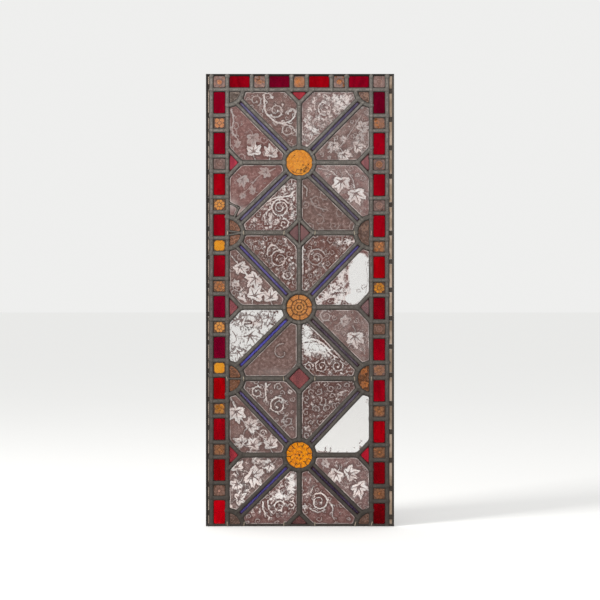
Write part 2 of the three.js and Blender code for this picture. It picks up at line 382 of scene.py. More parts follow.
def blob(random, x, z, radius, side):
    spread = 1 + 0.16 * random.normal(size=SPOKES)
    spread = (spread + np.roll(spread, 1) + np.roll(spread, -1)) / 3
    turns = np.arange(SPOKES) / SPOKES * 2 * math.pi
    squash, back = random.uniform(0.8, 1.15), random.uniform(2.86, 3.08)
    vertices = []
    for share, depth in RINGS[:-1]:
        reach = radius * share * spread
        level = depth if side < 0 else min(depth, back)
        for a, r in zip(turns, reach):
            across, up = x + r * math.cos(a) * squash, z + r * math.sin(a) / squash
            across = min(max(across, -HALF_WIDTH), HALF_WIDTH)
            vertices.append((across, side * level, min(max(up, SOLDER_EDGE), HEIGHT - SOLDER_EDGE)))
    count = len(vertices)
    peak = RINGS[-1][1] + random.uniform(-0.15, 0.0) if side < 0 else back + 0.005
    z = max(SOLDER_EDGE, z)
    vertices += [(x, side * peak, z), (x, side * RINGS[0][1], z)]
    faces = tube_faces(len(RINGS) - 1, SPOKES)[:-2]
    last = (len(RINGS) - 2) * SPOKES
    for k in range(SPOKES):
        m = (k + 1) % SPOKES
        faces += [[last + k, last + m, count], [m, k, count + 1]]
    if side > 0:
        faces = [face[::-1] for face in faces]
    share = np.concatenate([np.repeat([r[0] for r in RINGS[:-1]], SPOKES), [0.0, 1.0]])
    return vertices, faces, {"edge": share * 0.85, "grime": 0.0}


def solder_shells():
    """One blob a side for each joint. Joints closer than JOINT_GAP share one."""
    shells = Shells()
    random = np.random.RandomState(23)
    single = []
    for place in joints:
        if all(math.hypot(place[0] - x, place[1] - z) > JOINT_GAP for x, z, _ in single):
            single.append(place)
    for x, z, radius in single:
        x = float(np.clip(x, -HALF_WIDTH + SOLDER_INSET, HALF_WIDTH - SOLDER_INSET))
        z = float(np.clip(z, 2.5, HEIGHT - 5))
        for side in SIDES:
            shells.add(*blob(random, x, z, radius, side))
    return shells


# Stubs of copper tie wire, pale with corrosion and whitewash, soldered to the cames at the old saddle bars.
TIE_REACH = (32.5, 116.5, None)  # from the spine; None is at the border
TIE_WIRE, TIE_LENGTH = 0.75, 8.2


def wire_shell(path, radius, sides=8):
    path = np.asarray(path, float)
    ahead = np.gradient(path, axis=0)
    ahead /= np.linalg.norm(ahead, axis=1)[:, None]
    across = np.cross(ahead, [0, 1, 0.001])
    across /= np.linalg.norm(across, axis=1)[:, None]
    other = np.cross(ahead, across)
    vertices = []
    for place, a, b in zip(path, across, other):
        for k in range(sides):
            turn = 2 * math.pi * k / sides
            vertices.append(place + radius * (a * math.cos(turn) + b * math.sin(turn)))
    return vertices, tube_faces(len(path), sides)


def tie_shells():
    shells = Shells()
    random = np.random.RandomState(3)
    for row in ROWS[:3]:
        for side in SIDES:
            for reach in TIE_REACH:
                x = SPINE + side * (reach or (INNER[1] - INNER[-1]) / 2)
                foot = max(row - 4.0, 1.0)
                lean = random.uniform(-1.6, 2.6)
                t = np.linspace(0, 1, 6)
                path = np.stack([x + lean * t, -3.2 - 1.3 * t**1.5, foot + TIE_LENGTH * t], 1)
                shells.add(*wire_shell(path, TIE_WIRE))
    return shells


# ---- Outlines of the glass -------------------------------------------------------------------------
def front_outline(node):
    """The edge of a CAD glass's front face, as a ring of points in millimetres."""
    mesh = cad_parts[node].data
    places = [(round(v.co.x / MM, 3), round(v.co.y / MM, 3), round(v.co.z / MM, 3)) for v in mesh.vertices]
    level = min(p[1] for p in places)
    edges = {}
    for polygon in mesh.polygons:
        ring = [places[i] for i in polygon.vertices]
        if all(abs(p[1] - level) < 0.01 for p in ring):
            for a, b in zip(ring, ring[1:] + ring[:1]):
                a, b = (a[0], a[2]), (b[0], b[2])
                if (b, a) in edges:
                    del edges[(b, a)]
                else:
                    edges[(a, b)] = True
    following = {a: b for a, b in edges}
    start = min(following)
    ring, place = [start], following[start]
    while place != start:
        ring.append(place)
        place = following[place]
    return np.array(ring)


def area(ring):
    x, z = ring[:, 0], ring[:, 1]
    return 0.5 * float(np.sum(x * np.roll(z, -1) - np.roll(x, -1) * z))


def clip(ring, point, normal):
    """The part of a ring on the side of a line that its normal points to."""
    point, normal = np.array(point, float), np.array(normal, float)
    out = []
    for a, b in zip(ring, np.roll(ring, -1, 0)):
        da, db = float((a - point) @ normal), float((b - point) @ normal)
        if da >= 0:
            out.append(a)
        if da * db < 0:
            out.append(a + (b - a) * da / (da - db))
    return np.array(out)


def densified(ring, pitch):
    out = []
    for a, b in zip(ring, np.roll(ring, -1, 0)):
        steps = max(1, int(math.ceil(np.hypot(*(b - a)) / pitch)))
        out += [a + (b - a) * k / steps for k in range(steps)]
    return np.array(out)


def to_segments(points, starts, ends):
    """Each point's distance to each segment, and how far along it the nearest place is, from 0 to 1."""
    starts, ends = np.asarray(starts, float), np.asarray(ends, float)
    gap = ends - starts
    long = np.maximum((gap**2).sum(1), 1e-9)
    rel = points[:, None, :] - starts[None]
    t = np.clip((rel * gap[None]).sum(2) / long[None], 0, 1)
    near = rel - t[:, :, None] * gap[None]
    return np.hypot(near[:, :, 0], near[:, :, 1]), t


def inside(points, ring):
    x, z = points[:, 0], points[:, 1]
    found = np.zeros(len(points), bool)
    for (x0, z0), (x1, z1) in zip(ring, np.roll(ring, -1, 0)):
        crosses = (z0 > z) != (z1 > z)
        with np.errstate(divide="ignore", invalid="ignore"):
            at = (x1 - x0) * (z - z0) / (z1 - z0) + x0
        found ^= crosses & (x < at)
    return found


def sheet(ring, pitch, border):
    """Triangles that fill a ring, with points about a pitch apart. The ring's own points come first."""
    low, high = ring.min(0), ring.max(0)
    xs = np.arange(low[0] + pitch / 2, high[0], pitch)
    zs = np.arange(low[1] + pitch / 2, high[1], pitch * 0.87)
    grid = np.array([(x + (row % 2) * pitch / 2, z) for row, z in enumerate(zs) for x in xs])
    if len(grid):
        grid = grid[inside(grid, ring)]
    if len(grid):
        distance, _ = to_segments(grid, ring, np.roll(ring, -1, 0))
        grid = grid[distance.min(1) > border]
    points = np.concatenate([ring, grid]) if len(grid) else ring
    count = len(ring)
    edges = [(i, (i + 1) % count) for i in range(count)]
    found = delaunay_2d_cdt([Vector(p) for p in points], edges, [], 1, 1e-5)
    places, triangles, origins = found[0], found[2], found[3]
    if len(places) != len(points):
        raise RuntimeError("a ring of glass crosses itself")
    order = {i: origin[0] for i, origin in enumerate(origins)}
    return points, [tuple(order[i] for i in t) for t in triangles]


def ripple(points, seed, size):
    """The slow unevenness of hand-blown glass."""
    random = np.random.RandomState(seed)
    total = np.zeros(len(points))
    for _ in range(5):
        angle, length, phase = random.uniform(0, math.pi), random.uniform(18, 60), random.uniform(0, 6.3)
        across = points[:, 0] * math.cos(angle) + points[:, 1] * math.sin(angle)
        total += np.sin(across * 2 * math.pi / length + phase)
    return size * total / 5


def slab(ring, front_pitch, back_pitch, seed, wave=0.1):
    """A closed glass: vertices and faces. Its front and back share a ring of points."""
    if area(ring) < 0:
        ring = ring[::-1]
    ring = densified(ring, front_pitch * 1.6)
    count = len(ring)
    front, front_faces = sheet(ring, front_pitch, front_pitch * 0.45)
    back, back_faces = sheet(ring, back_pitch, back_pitch * 0.4)
    near = np.stack([front[:, 0], -GLASS / 2 + ripple(front, seed, wave), front[:, 1]], 1)
    far = np.stack([back[:, 0], GLASS / 2 + ripple(back, seed + 1, wave), back[:, 1]], 1)
    near[:count, 1], far[:count, 1] = -GLASS / 2, GLASS / 2
    shift = len(near)
    faces = [outward(near, triangle, -1) for triangle in front_faces]
    faces += [[i + shift for i in outward(far, triangle, 1)] for triangle in back_faces]
    for i in range(count):
        j = (i + 1) % count
        faces.append([i, i + shift, j + shift, j])
    return np.concatenate([near, far]), faces


def outward(vertices, triangle, side):
    a, b, c = (vertices[i] for i in triangle)
    up = (b[0] - a[0]) * (c[2] - a[2]) - (b[2] - a[2]) * (c[0] - a[0])
    # Counter-clockwise in x and z faces -y.
    return list(triangle) if (up > 0) == (side < 0) else list(triangle)[::-1]


# ---- Distance to the lead, for cement and dirt -----------------------------------------------------
STARTS = np.array([c[0] for c in cames])
ENDS = np.array([c[1] for c in cames])
HALVES = np.array([c[2] / 2 for c in cames])
CORNER = 1.1  # dirt rounds the corners of the glass by about this much
FAR_FROM_LEAD = 14.0


def from_lead(points):
    """Millimetres from each point to the nearest leaf of lead, less than 0 under it, rounded in the corners."""
    low, high = points.min(0) - 8, points.max(0) + 8
    near = (np.minimum(STARTS, ENDS) <= high).all(1) & (np.maximum(STARTS, ENDS) >= low).all(1)
    gaps = [np.full((len(points), 1), FAR_FROM_LEAD)]
    if near.any():
        distance, _ = to_segments(points, STARTS[near], ENDS[near])
        gaps.append(distance - HALVES[near][None])
    for (x, z), radius, width, start, end in hoops:
        if low[0] - radius < x < high[0] + radius and low[1] - radius < z < high[1] + radius:
            ring = np.abs(np.hypot(points[:, 0] - x, points[:, 1] - z) - radius) - width / 2
            turn = np.degrees(np.arctan2(points[:, 1] - z, points[:, 0] - x))
            gaps.append(np.where(((turn - start) % 360) <= end - start, ring, FAR_FROM_LEAD)[:, None])
    edge = np.minimum(HALF_WIDTH - np.abs(points[:, 0]), np.minimum(points[:, 1], HEIGHT - points[:, 1]))
    gaps.append(edge[:, None] - EDGE_LEAF)
    gaps = np.clip(np.concatenate(gaps, 1), -4, FAR_FROM_LEAD)
    return -CORNER * np.log(np.exp(-gaps / CORNER).sum(1))


# ---- The painter's shapes --------------------------------------------------------------------------
def smooth_path(knots, steps=5):
    """A smooth curve through some knots."""
    knots = np.asarray(knots, float)
    padded = np.concatenate([2 * knots[:1] - knots[1:2], knots, 2 * knots[-1:] - knots[-2:-1]])
    curve = []
    for a, b, c, d in zip(padded, padded[1:], padded[2:], padded[3:]):
        square, cube = 2 * a - 5 * b + 4 * c - d, 3 * b - a - 3 * c + d
        for t in np.arange(steps) / steps:
            curve.append(0.5 * (2 * b + (c - a) * t + square * t**2 + cube * t**3))
    return np.array(curve + [knots[-1]])


# A vine leaf's outline: degrees from its tip, and share of its size.
LEAF_OUTLINE = (
    (0, 1.0), (5, 0.91), (12, 0.81), (19, 0.69), (26, 0.55), (32, 0.63), (40, 0.81), (47, 0.89), (55, 0.83),
    (64, 0.71), (73, 0.54), (82, 0.57), (94, 0.65), (106, 0.65), (120, 0.55), (138, 0.41), (156, 0.29),
    (172, 0.14), (180, 0.05),
)
LEAF_SQUASH = 1.02
FAR = 6.0  # a distance at which a painted shape has no say
BRUSH_REACH = 7
LEAF_VEINS = ((0, 0.86), (47, 0.74), (-47, 0.74), (105, 0.50), (-105, 0.50))


class Painting:
    """What a painter lays on one glass, worked out at its points: distances to the light shapes scratched
    out of the brown and to the dark lines in them, how clear the shapes are, and how worn the paint is.
    A shape's clarity under 0 makes it dark."""

    def __init__(self, points, shake=0.2, wear=0.0):
        x, z = points[:, 0], points[:, 1]
        sway_x = np.sin(z * 0.53 + 0.21 * x) + np.sin(z * 1.21 + 1.0)
        sway_z = np.sin(x * 0.47 - 0.17 * z) + np.sin(x * 1.13 + 2.0)
        self.points = points + shake * np.stack([sway_x, sway_z], 1)  # nothing is drawn quite true
        self.light = np.full(len(points), FAR)
        self.dark = np.full(len(points), FAR)
        self.clarity = np.zeros(len(points))
        self.wear = np.zeros(len(points)) + wear
        self.wash = np.zeros(len(points))
        self.hatch = 0.0

    def lay(self, distance, clarity):
        if np.min(clarity) < 0:
            self.dark = np.minimum(self.dark, distance)
            return
        nearer = distance < self.light
        self.light = np.where(nearer, distance, self.light)
        self.clarity = np.where(nearer, clarity, self.clarity)

    def stroke(self, path, wide, narrow, clarity):
        """A brush stroke that narrows to its end."""
        path = np.asarray(path, float)
        low, high = path.min(0) - BRUSH_REACH, path.max(0) + BRUSH_REACH
        near = ((self.points > low) & (self.points < high)).all(1)
        if not near.any():
            return
        distance, t = to_segments(self.points[near], path[:-1], path[1:])
        share = (np.arange(len(path) - 1)[None] + t) / (len(path) - 1)
        shaped = np.full(len(self.points), FAR)
        shaped[near] = (distance - (wide + (narrow - wide) * share) / 2).min(1)
        self.lay(shaped, clarity)

    def vine(self, knots, wide, narrow, clarity, buds=True):
        """A stem through some knots, with short leaves to either side."""
        path = smooth_path(knots)
        self.stroke(path, wide, narrow, clarity)
        long = 2.5 + wide
        for k in range(3, len(path) - 2, 5) if buds else ():
            ahead = path[k + 1] - path[k]
            ahead /= np.hypot(*ahead)
            side = np.array([ahead[1], -ahead[0]]) * (1 if (k // 5) % 2 else -1)
            steps = ((0, 0), (0.6, 0.2), (1, 0.8), (0.7, 1.2))
            bud = [path[k] + side * long * out + ahead * long * on for out, on in steps]
            self.stroke(bud, wide * 0.7, wide * 0.25, clarity)

    def tangle(self, seed, count, size, clarity):
        """Small scrolls strewn over the glass."""
        random = np.random.RandomState(seed)
        taken = []
        for _ in range(count * 6):
            place = self.points[random.randint(len(self.points))]
            start, turns = random.uniform(0, 360), random.choice([-1, 1]) * random.uniform(0.8, 1.2)
            scale = random.uniform(0.75, 1.25)
            if any(np.hypot(*(place - other)) < size * 1.9 for other in taken):
                continue
            taken.append(place)
            self.scroll(place[0], place[1], size * scale, start, turns, max(1.3, size * 0.22), clarity)
            if len(taken) == count:
                break

    def scroll(self, x, z, radius, start, turns, wide, clarity, buds=True):
        """A scroll that winds inwards from its start to a little leaf, with others along its outside."""
        t = np.linspace(0, 1, 30)
        angle = np.radians(start) + turns * 2 * math.pi * t
        reach = radius * (1 - 0.74 * t**1.5)
        path = np.stack([x + reach * np.cos(angle), z + reach * np.sin(angle)], 1)
        self.stroke(path, wide, wide * 0.5, clarity)
        self.dot(path[-1][0], path[-1][1], wide * 0.6, clarity)
        if not buds:
            return
        for spread in (-1.3, -0.4, 0.5) if radius > 8 else ():
            turn = angle[-1] + math.pi / 2 * np.sign(turns) + spread
            tip = path[-1] + radius * 0.3 * np.array([math.cos(turn), math.sin(turn)])
            self.stroke([path[-1], tip], wide * 0.8, wide * 0.3, clarity)
        for k in (3, 9, 15) if radius <= 8 else (2, 6, 10, 14, 18):
            out = path[k] - (x, z)
            out /= np.hypot(*out)
            along = np.array([-out[1], out[0]]) * np.sign(turns)
            long = min(radius * 0.34, 5.5) * (1 if k % 4 else 0.7)
            root, out, along = path[k], out * long, along * long
            leaf = [root, root + out * 0.6 + along * 0.1, root + out + along * 0.7]
            self.stroke(leaf, wide * 0.8, wide * 0.25, clarity)

    def reach(self, x, z):
        return np.hypot(self.points[:, 0] - x, self.points[:, 1] - z)

    def dot(self, x, z, radius, clarity):
        self.lay(self.reach(x, z) - radius, clarity)

    def ring(self, x, z, radius, wide, clarity):
        self.lay(np.abs(self.reach(x, z) - radius) - wide / 2, clarity)

    def leaf(self, x, z, size, turn, clarity, outlined=False):
        """A five-lobed vine leaf, a little bent and darker to one side. Its tip points along turn, in degrees."""
        tip, bend, dull = math.radians(turn), 0.3 * math.sin(x + 2 * z), 1 if math.sin(3 * x + z) > 0 else -1
        rel = self.points - (x, z)
        along = rel[:, 0] * math.cos(tip) + rel[:, 1] * math.sin(tip)
        aside = (rel[:, 1] * math.cos(tip) - rel[:, 0] * math.sin(tip)) / LEAF_SQUASH
        aside = aside - bend * np.clip(along, 0, size) ** 2 / size
        angle = np.degrees(np.abs(np.arctan2(aside, along)))
        uneven = 0.07 * np.sin(np.radians(angle * 2 + turn)) * np.sign(aside)
        teeth = 1 + 0.075 * np.sin(np.radians(angle * 26)) + uneven
        away = (np.hypot(along, aside) - size * np.interp(angle, *zip(*LEAF_OUTLINE)) * teeth) * 0.7
        over = (self.light < -0.6) | outlined
        self.lay(np.where(over, np.abs(away + 0.3) - 0.6, FAR), -1)  # it stands clear of what it lies over
        self.lay(away, clarity * np.where(aside * dull > 0, 1.0, 0.8))

        def spot(degrees, share):
            a = share * size * math.cos(math.radians(degrees))
            c = share * size * LEAF_SQUASH * math.sin(math.radians(degrees))
            c += bend * max(a, 0) ** 2 / size * LEAF_SQUASH
            return x + a * math.cos(tip) - c * math.sin(tip), z + a * math.sin(tip) + c * math.cos(tip)

        for lobe, long in LEAF_VEINS:
            self.stroke([(x, z), spot(lobe, long / 2), spot(lobe, long)], size * 0.12, 0.9, -1)
        self.stroke([(x, z), spot(175, 0.5), spot(190, 0.85)], 1.6, 1.0, clarity)

    def outlined(self, *leaf):
        self.leaf(*leaf, True)

    def spread(self, x, z, across, up):
        """How far each point is from a place, squared, in shares of the place's size."""
        return (((self.points - (x, z)) / (across, up)) ** 2).sum(1)

    def worn(self, x, z, across, up, amount):
        self.wear += amount * np.exp(-self.spread(x, z, across, up))

    def clear(self, x, z, across, up, amount):
        """A place where hardly any paint is left."""
        self.wear += 0.75 * amount * np.clip(1.6 - self.spread(x, z, across, up) * 1.1, 0, 1)

    def washed(self, x, z, across, up, amount):
        """Thinner or thicker paint round a place."""
        self.wash += amount * np.exp(-self.spread(x, z, across, up))

    def hatched(self, amount):
        self.hatch = amount


BROWN = (0.158, 0.068, 0.056)
GREY_BROWN = (0.160, 0.094, 0.082)
MAUVE = (0.205, 0.096, 0.088)
DARK_BROWN = (0.140, 0.066, 0.058)

# Each quarry's painting, in millimetres from its hub: the paint's tone, its wear and its shapes.
QUARRIES = {
    "top": {
        "above_left": (BROWN, 0.27, [
            ("vine", [(-74, 141), (-73, 124), (-71, 107), (-60, 94), (-48, 85), (-32, 83), (-18, 88), (-9, 99),
                (-10, 110), (-19, 112), (-23, 104)], 3.8, 2.2, 0.84),
            ("scroll", -49, 109, 14, 225, 1.3, 2.6, 0.82), ("scroll", -92, 130, 12, 300, 1.0, 2.2, 0.6),
            ("scroll", -24, 68, 12, 110, 1.2, 2.4, 0.72),
            ("vine", [(-48, 84), (-30, 80), (-15, 75), (-8, 64)], 2.8, 1.8, 0.8),
            ("vine", [(-76, 142), (-66, 146), (-56, 138)], 2.8, 1.6, 0.8), ("dot", -35, 122, 2.4, 0.85),
            ("dot", -24, 103, 2.2, 0.85), ("dot", -57, 137, 2.8, 0.9), ("tangle", 1, 20, 5, 0.42),
            ("hatched", 0.4),
        ]),
        "above_right": (MAUVE, 0.58, [
            ("scroll", 54, 113, 15, 90, 1.8, 2.0, 0.7), ("tangle", 2, 34, 4, 0.42), ("tangle", 12, 34, 4, -1),
            ("hatched", 0.7), ("worn", 85, 130, 26, 13, 0.14), ("worn", 22, 62, 15, 22, 0.1),
            ("worn", 14, 128, 9, 20, -0.28), ("worn", 95, 112, 16, 12, 0.16),
        ]),
        "right_upper": (BROWN, 0.24, [
            ("outlined", 93, 18, 21, -60, 0.9), ("outlined", 72, 38, 18, -100, 0.8),
            ("outlined", 120, 33, 20, 15, 0.86), ("leaf", 131, 72, 19, 60, 0.55),
            ("outlined", 126, 55, 15, -40, 0.6), ("leaf", 92, 48, 9, 100, 0.75),
            ("vine", [(60, 22), (86, 34), (106, 62), (130, 100)], 2.0, 1.2, 0.5), ("worn", 128, 70, 18, 30, 0.1),
            ("worn", 55, 16, 18, 12, -0.2), ("tangle", 3, 18, 4.5, 0.6), ("hatched", 1.0),
        ]),
        "right_lower": (MAUVE, 0.29, [
            ("leaf", 88, -38, 26, -92, 1.0), ("leaf", 118, -64, 26, -78, 1.0),
            ("vine", [(40, -12), (66, -18), (88, -36)], 2.0, 1.2, 0.7),
            ("vine", [(96, -14), (112, -36), (118, -62)], 1.8, 1.2, 0.7), ("tangle", 4, 16, 6, 0.6),
            ("hatched", 1.0), ("worn", 60, -20, 22, 10, 0.1),
        ]),
        "below_right": (GREY_BROWN, 0.12, [
            ("vine", [(10, -48), (16, -56), (15, -70)], 2.6, 1.6, 0.6, False), ("tangle", 5, 9, 10, 0.16),
            ("vine", [(24, -76), (34, -92), (60, -100)], 2.6, 2.0, 0.2), ("worn", 10, -60, 8, 14, 0.12),
        ]),
        "below_left": (MAUVE, 0.57, [
            ("scroll", -40, -95, 19, 30, 1.9, 3.0, 0.95), ("scroll", -32, -128, 10, 100, -1.1, 2.8, 0.9),
            ("vine", [(-10, -60), (-22, -70), (-50, -74), (-66, -82)], 3.2, 2.4, 0.9),
            ("vine", [(-60, -96), (-74, -112), (-66, -130)], 2.8, 1.8, 0.8), ("tangle", 6, 18, 6, 0.75),
            ("tangle", 16, 14, 5, -1), ("worn", -18, -60, 18, 22, 0.14), ("worn", -80, -124, 24, 12, -0.14),
            ("worn", -10, -110, 7, 26, 0.2),
        ]),
        "left_lower": (MAUVE, 0.14, [
            ("leaf", -120, -35, 18, -60, 0.36), ("leaf", -68, -20, 17, 200, 0.4),
            ("leaf", -96, -60, 12, 160, 0.3), ("leaf", -118, -68, 10, 250, 0.3),
            ("vine", [(-50, -12), (-84, -28), (-104, -52), (-120, -66)], 1.8, 1.2, 0.35),
            ("worn", -141, -84, 7, 7, 0.12), ("washed", -141, -88, 10, 12, -0.3),
            ("washed", -120, -98, 7, 7, -0.22),
            ("vine", [(-128, -95), (-115, -90), (-103, -85), (-92, -78)], 2.4, 1.4, -1, False),
        ]),
        "left_upper": (MAUVE, 0.18, [
            ("leaf", -96, 22, 22, 96, 1.0), ("leaf", -60, 18, 21, 80, 0.9), ("leaf", -98, 54, 20, -80, 0.32),
            ("leaf", -128, 38, 12, 150, 0.35),
            ("vine", [(-143, 112), (-138, 90), (-141, 66), (-130, 50)], 3.4, 2.0, 0.4), ("tangle", 7, 8, 7, 0.3),
            ("worn", -138, 78, 8, 30, 0.14),
        ]),
    },
    "middle": {
        "above_left": (BROWN, 0.47, [
            ("scroll", -42, 102, 18, 60, 1.35, 2.5, 0.78),
            ("vine", [(-58, 132), (-66, 122), (-66, 106)], 3.4, 1.8, 0.86),
            ("vine", [(-58, 131), (-48, 128), (-40, 120)], 2.8, 1.4, 0.8),
            ("scroll", -24, 68, 10, 120, 1.3, 2.2, 0.7), ("dot", -16, 104, 2.6, 0.8), ("dot", -13, 93, 2.4, 0.75),
            ("dot", -12, 82, 2.4, 0.7), ("scroll", -88, 128, 13, 200, -1.0, 1.8, 0.34),
            ("tangle", 21, 18, 5, 0.5), ("worn", -16, 84, 12, 30, 0.1),
        ]),
        "above_right": (BROWN, 0.43, [
            ("scroll", 36, 104, 19, 20, 1.5, 2.2, 0.5), ("vine", [(8, 142), (7, 110), (8, 70)], 3.4, 2.2, 0.85),
            ("tangle", 22, 16, 6, 0.6), ("tangle", 32, 10, 5, -1), ("worn", 100, 138, 18, 9, 0.4),
            ("worn", 8, 118, 6, 22, 0.2), ("worn", 14, 48, 12, 16, 0.24), ("worn", 50, 128, 24, 12, -0.1),
        ]),
        "right_upper": (MAUVE, 0.76, [
            ("clear", 126, 66, 20, 46, 1.0), ("clear", 110, 18, 12, 10, 0.8), ("leaf", 70, 40, 15, 20, 0.95),
            ("tangle", 23, 8, 6, 0.8), ("tangle", 33, 8, 6, -1), ("worn", 132, 118, 16, 7, -0.6),
            ("worn", 112, 96, 9, 9, -0.3), ("worn", 99, 60, 6, 34, -0.26), ("worn", 70, 52, 16, 8, -0.16),
            ("worn", 56, 10, 16, 6, -0.2), ("vine", [(139, 30), (143, 60), (139, 96)], 1.2, 0.8, -1, False),
        ]),
        "right_lower": (BROWN, 0.23, [
            ("leaf", 116, -60, 26, -90, 0.85), ("leaf", 92, -30, 15, 20, 0.55),
            ("scroll", 56, -18, 12, 90, 1.2, 2.4, 0.5), ("tangle", 24, 12, 6, 0.5),
            ("worn", 132, -66, 14, 34, 0.24), ("worn", 90, -10, 34, 4, 0.2), ("worn", 78, -58, 20, 8, 0.14),
            ("hatched", 0.9),
        ]),
        "below_right": (BROWN, 0.5, [
            ("worn", 14, -52, 15, 22, 0.6), ("worn", 30, -84, 22, 13, 0.62), ("worn", 58, -88, 12, 9, 0.3),
            ("scroll", 18, -56, 9, 40, 1.3, 1.3, -1), ("scroll", 32, -86, 14, 60, 1.6, 1.3, -1),
            ("vine", [(8, -72), (30, -67), (52, -78), (66, -96), (80, -106)], 4.0, 2.6, 0.95),
            ("scroll", 20, -124, 9, 0, 1.2, 2.2, 0.8), ("scroll", 47, -123, 13, 120, 1.3, 2.4, 0.85),
            ("scroll", 80, -123, 12, 60, -1.3, 2.4, 0.8),
            ("vine", [(24, -42), (50, -66), (92, -112)], 2.4, 2.0, 0.9, False), ("tangle", 25, 12, 5, -1),
            ("tangle", 35, 10, 5, 0.6),
        ]),
        "below_left": (GREY_BROWN, 0.04, [
            ("scroll", -36, -94, 18, 80, 0.75, 1.7, 0.5, False), ("worn", -8, -60, 5, 26, 0.15),
            ("washed", -50, -136, 44, 7, -0.07),
        ]),
        "left_lower": (BROWN, 0.94, [
            ("outlined", -104, -58, 31, -60, 1.0), ("outlined", -64, -20, 22, 200, 1.0),
            ("outlined", -128, -92, 20, 250, 1.0), ("outlined", -120, -28, 21, 160, 1.0),
            ("scroll", -132, -92, 11, 0, 0.9, 1.6, -1),
            ("vine", [(-142, -32), (-112, -16), (-82, -22)], 2.6, 1.6, -1),
            ("vine", [(-88, -12), (-78, -28), (-80, -46)], 2.4, 1.4, -1),
            ("vine", [(-52, -9), (-62, -34)], 2.2, 1.2, -1),
            ("vine", [(-140, -50), (-132, -66), (-140, -80)], 2.2, 1.2, -1), ("tangle", 26, 18, 5, -1),
            ("worn", -92, -30, 30, 9, -0.26), ("worn", -112, -106, 16, 6, -0.2),
        ]),
        "left_upper": (BROWN, 0.34, [
            ("leaf", -126, 86, 21, -60, 1.0), ("leaf", -92, 62, 25, 220, 1.0), ("leaf", -94, 24, 25, 70, 1.0),
            ("leaf", -60, 20, 23, 100, 1.0), ("leaf", -134, 48, 12, 100, 0.7),
            ("vine", [(-142, 108), (-116, 76), (-78, 40), (-46, 12)], 1.8, 1.2, 0.8), ("tangle", 27, 9, 6, 0.6),
            ("worn", -104, 26, 46, 18, 0.3), ("hatched", 0.4),
        ]),
    },
    "bottom": {
        "above_left": (DARK_BROWN, 0.05, [
            ("vine", [(-70, 150), (-71, 132), (-68, 110)], 3.8, 2.2, 0.92),
            ("vine", [(-70, 142), (-61, 150)], 2.8, 1.8, 0.88, False),
            ("scroll", -88, 132, 12, 50, 1.2, 2.8, 0.88), ("scroll", -45, 104, 16, 100, 1.35, 2.8, 0.95),
            ("vine", [(-50, 122), (-40, 120), (-28, 112)], 3.0, 1.6, 0.9),
            ("scroll", -24, 72, 11, 90, 1.3, 2.0, 0.6), ("scroll", -44, 143, 8, 200, -1.1, 2.0, 0.75),
            ("leaf", -20, 134, 7, -70, 0.9), ("tangle", 41, 18, 5, 0.55), ("hatched", 0.3),
        ]),
        "above_right": (DARK_BROWN, 0.4, [
            ("worn", 74, 106, 12, 11, 0.2), ("worn", 92, 130, 14, 10, 0.12), ("worn", 18, 52, 12, 14, 0.14),
            ("tangle", 42, 24, 7, 0.6), ("tangle", 52, 12, 5, -1),
        ]),
        "right_upper": (BROWN, 1.25, [
            ("vine", [(52, 6), (56, 12), (55, 18)], 1.6, 0.8, -1),
            ("vine", [(64, 5), (67, 12), (65, 17)], 1.6, 0.8, -1), ("vine", [(126, 24), (132, 31)], 1.6, 0.8, -1),
            ("vine", [(80, 5), (84, 10)], 1.4, 0.8, -1, False), ("dot", 116, 16, 1.2, -1),
            ("dot", 100, 7, 1.4, -1), ("worn", 46, 6, 22, 4, -0.7), ("worn", 90, 3.5, 40, 2.5, -0.6),
            ("worn", 142, 112, 7, 7, -0.4), ("worn", 130, 16, 10, 5, -0.5),
        ]),
        "right_lower": (MAUVE, 0.43, [
            ("leaf", 78, -38, 22, -120, 0.95), ("outlined", 104, -40, 24, 30, 0.92),
            ("outlined", 124, -66, 26, -60, 1.0), ("leaf", 54, -20, 13, 60, 0.6),
            ("worn", 118, -62, 20, 12, 0.16), ("worn", 130, -102, 16, 18, -0.14), ("worn", 60, -12, 30, 6, -0.1),
            ("tangle", 43, 14, 5, 0.5), ("hatched", 0.5),
        ]),
        "below_right": (MAUVE, 0.27, [
            ("scroll", 42, -98, 18, 120, -1.4, 3.0, 0.95),
            ("vine", [(62, -98), (70, -110), (69, -126), (74, -136)], 2.8, 1.6, 0.7),
            ("vine", [(22, -112), (38, -120), (56, -114)], 2.8, 1.6, 0.75), ("leaf", 12, -108, 8, -90, 0.9),
            ("tangle", 44, 16, 5, 0.6), ("worn", 20, -62, 16, 22, 0.2), ("worn", 32, -84, 22, 9, 0.2),
            ("worn", 8, -96, 7, 18, 0.2), ("worn", 76, -142, 60, 9, -0.3),
        ]),
        "below_left": (MAUVE, 0.48, [
            ("worn", -16, -58, 14, 26, 0.3), ("worn", -44, -86, 24, 12, 0.36),
            ("vine", [(-76, -98), (-76, -114), (-66, -128)], 3.2, 1.6, 0.85),
            ("vine", [(-66, -96), (-64, -112), (-54, -124)], 3.0, 1.6, 0.85),
            ("scroll", -42, -108, 12, 20, 1.2, 2.8, 0.88), ("scroll", -18, -106, 9, 100, -1.2, 2.4, 0.8),
            ("worn", -96, -138, 30, 13, -0.4), ("worn", -20, -140, 16, 8, -0.2), ("tangle", 45, 16, 5, 0.7),
            ("tangle", 55, 12, 5, -1),
        ]),
        "left_lower": (BROWN, 0.38, [
            ("leaf", -100, -42, 31, -30, 0.95), ("outlined", -62, -20, 22, 210, 0.95),
            ("leaf", -128, -92, 20, 20, 0.95), ("leaf", -132, -26, 20, 100, 0.9),
            ("outlined", -130, -60, 20, 220, 0.95), ("outlined", -92, -14, 14, 80, 0.9),
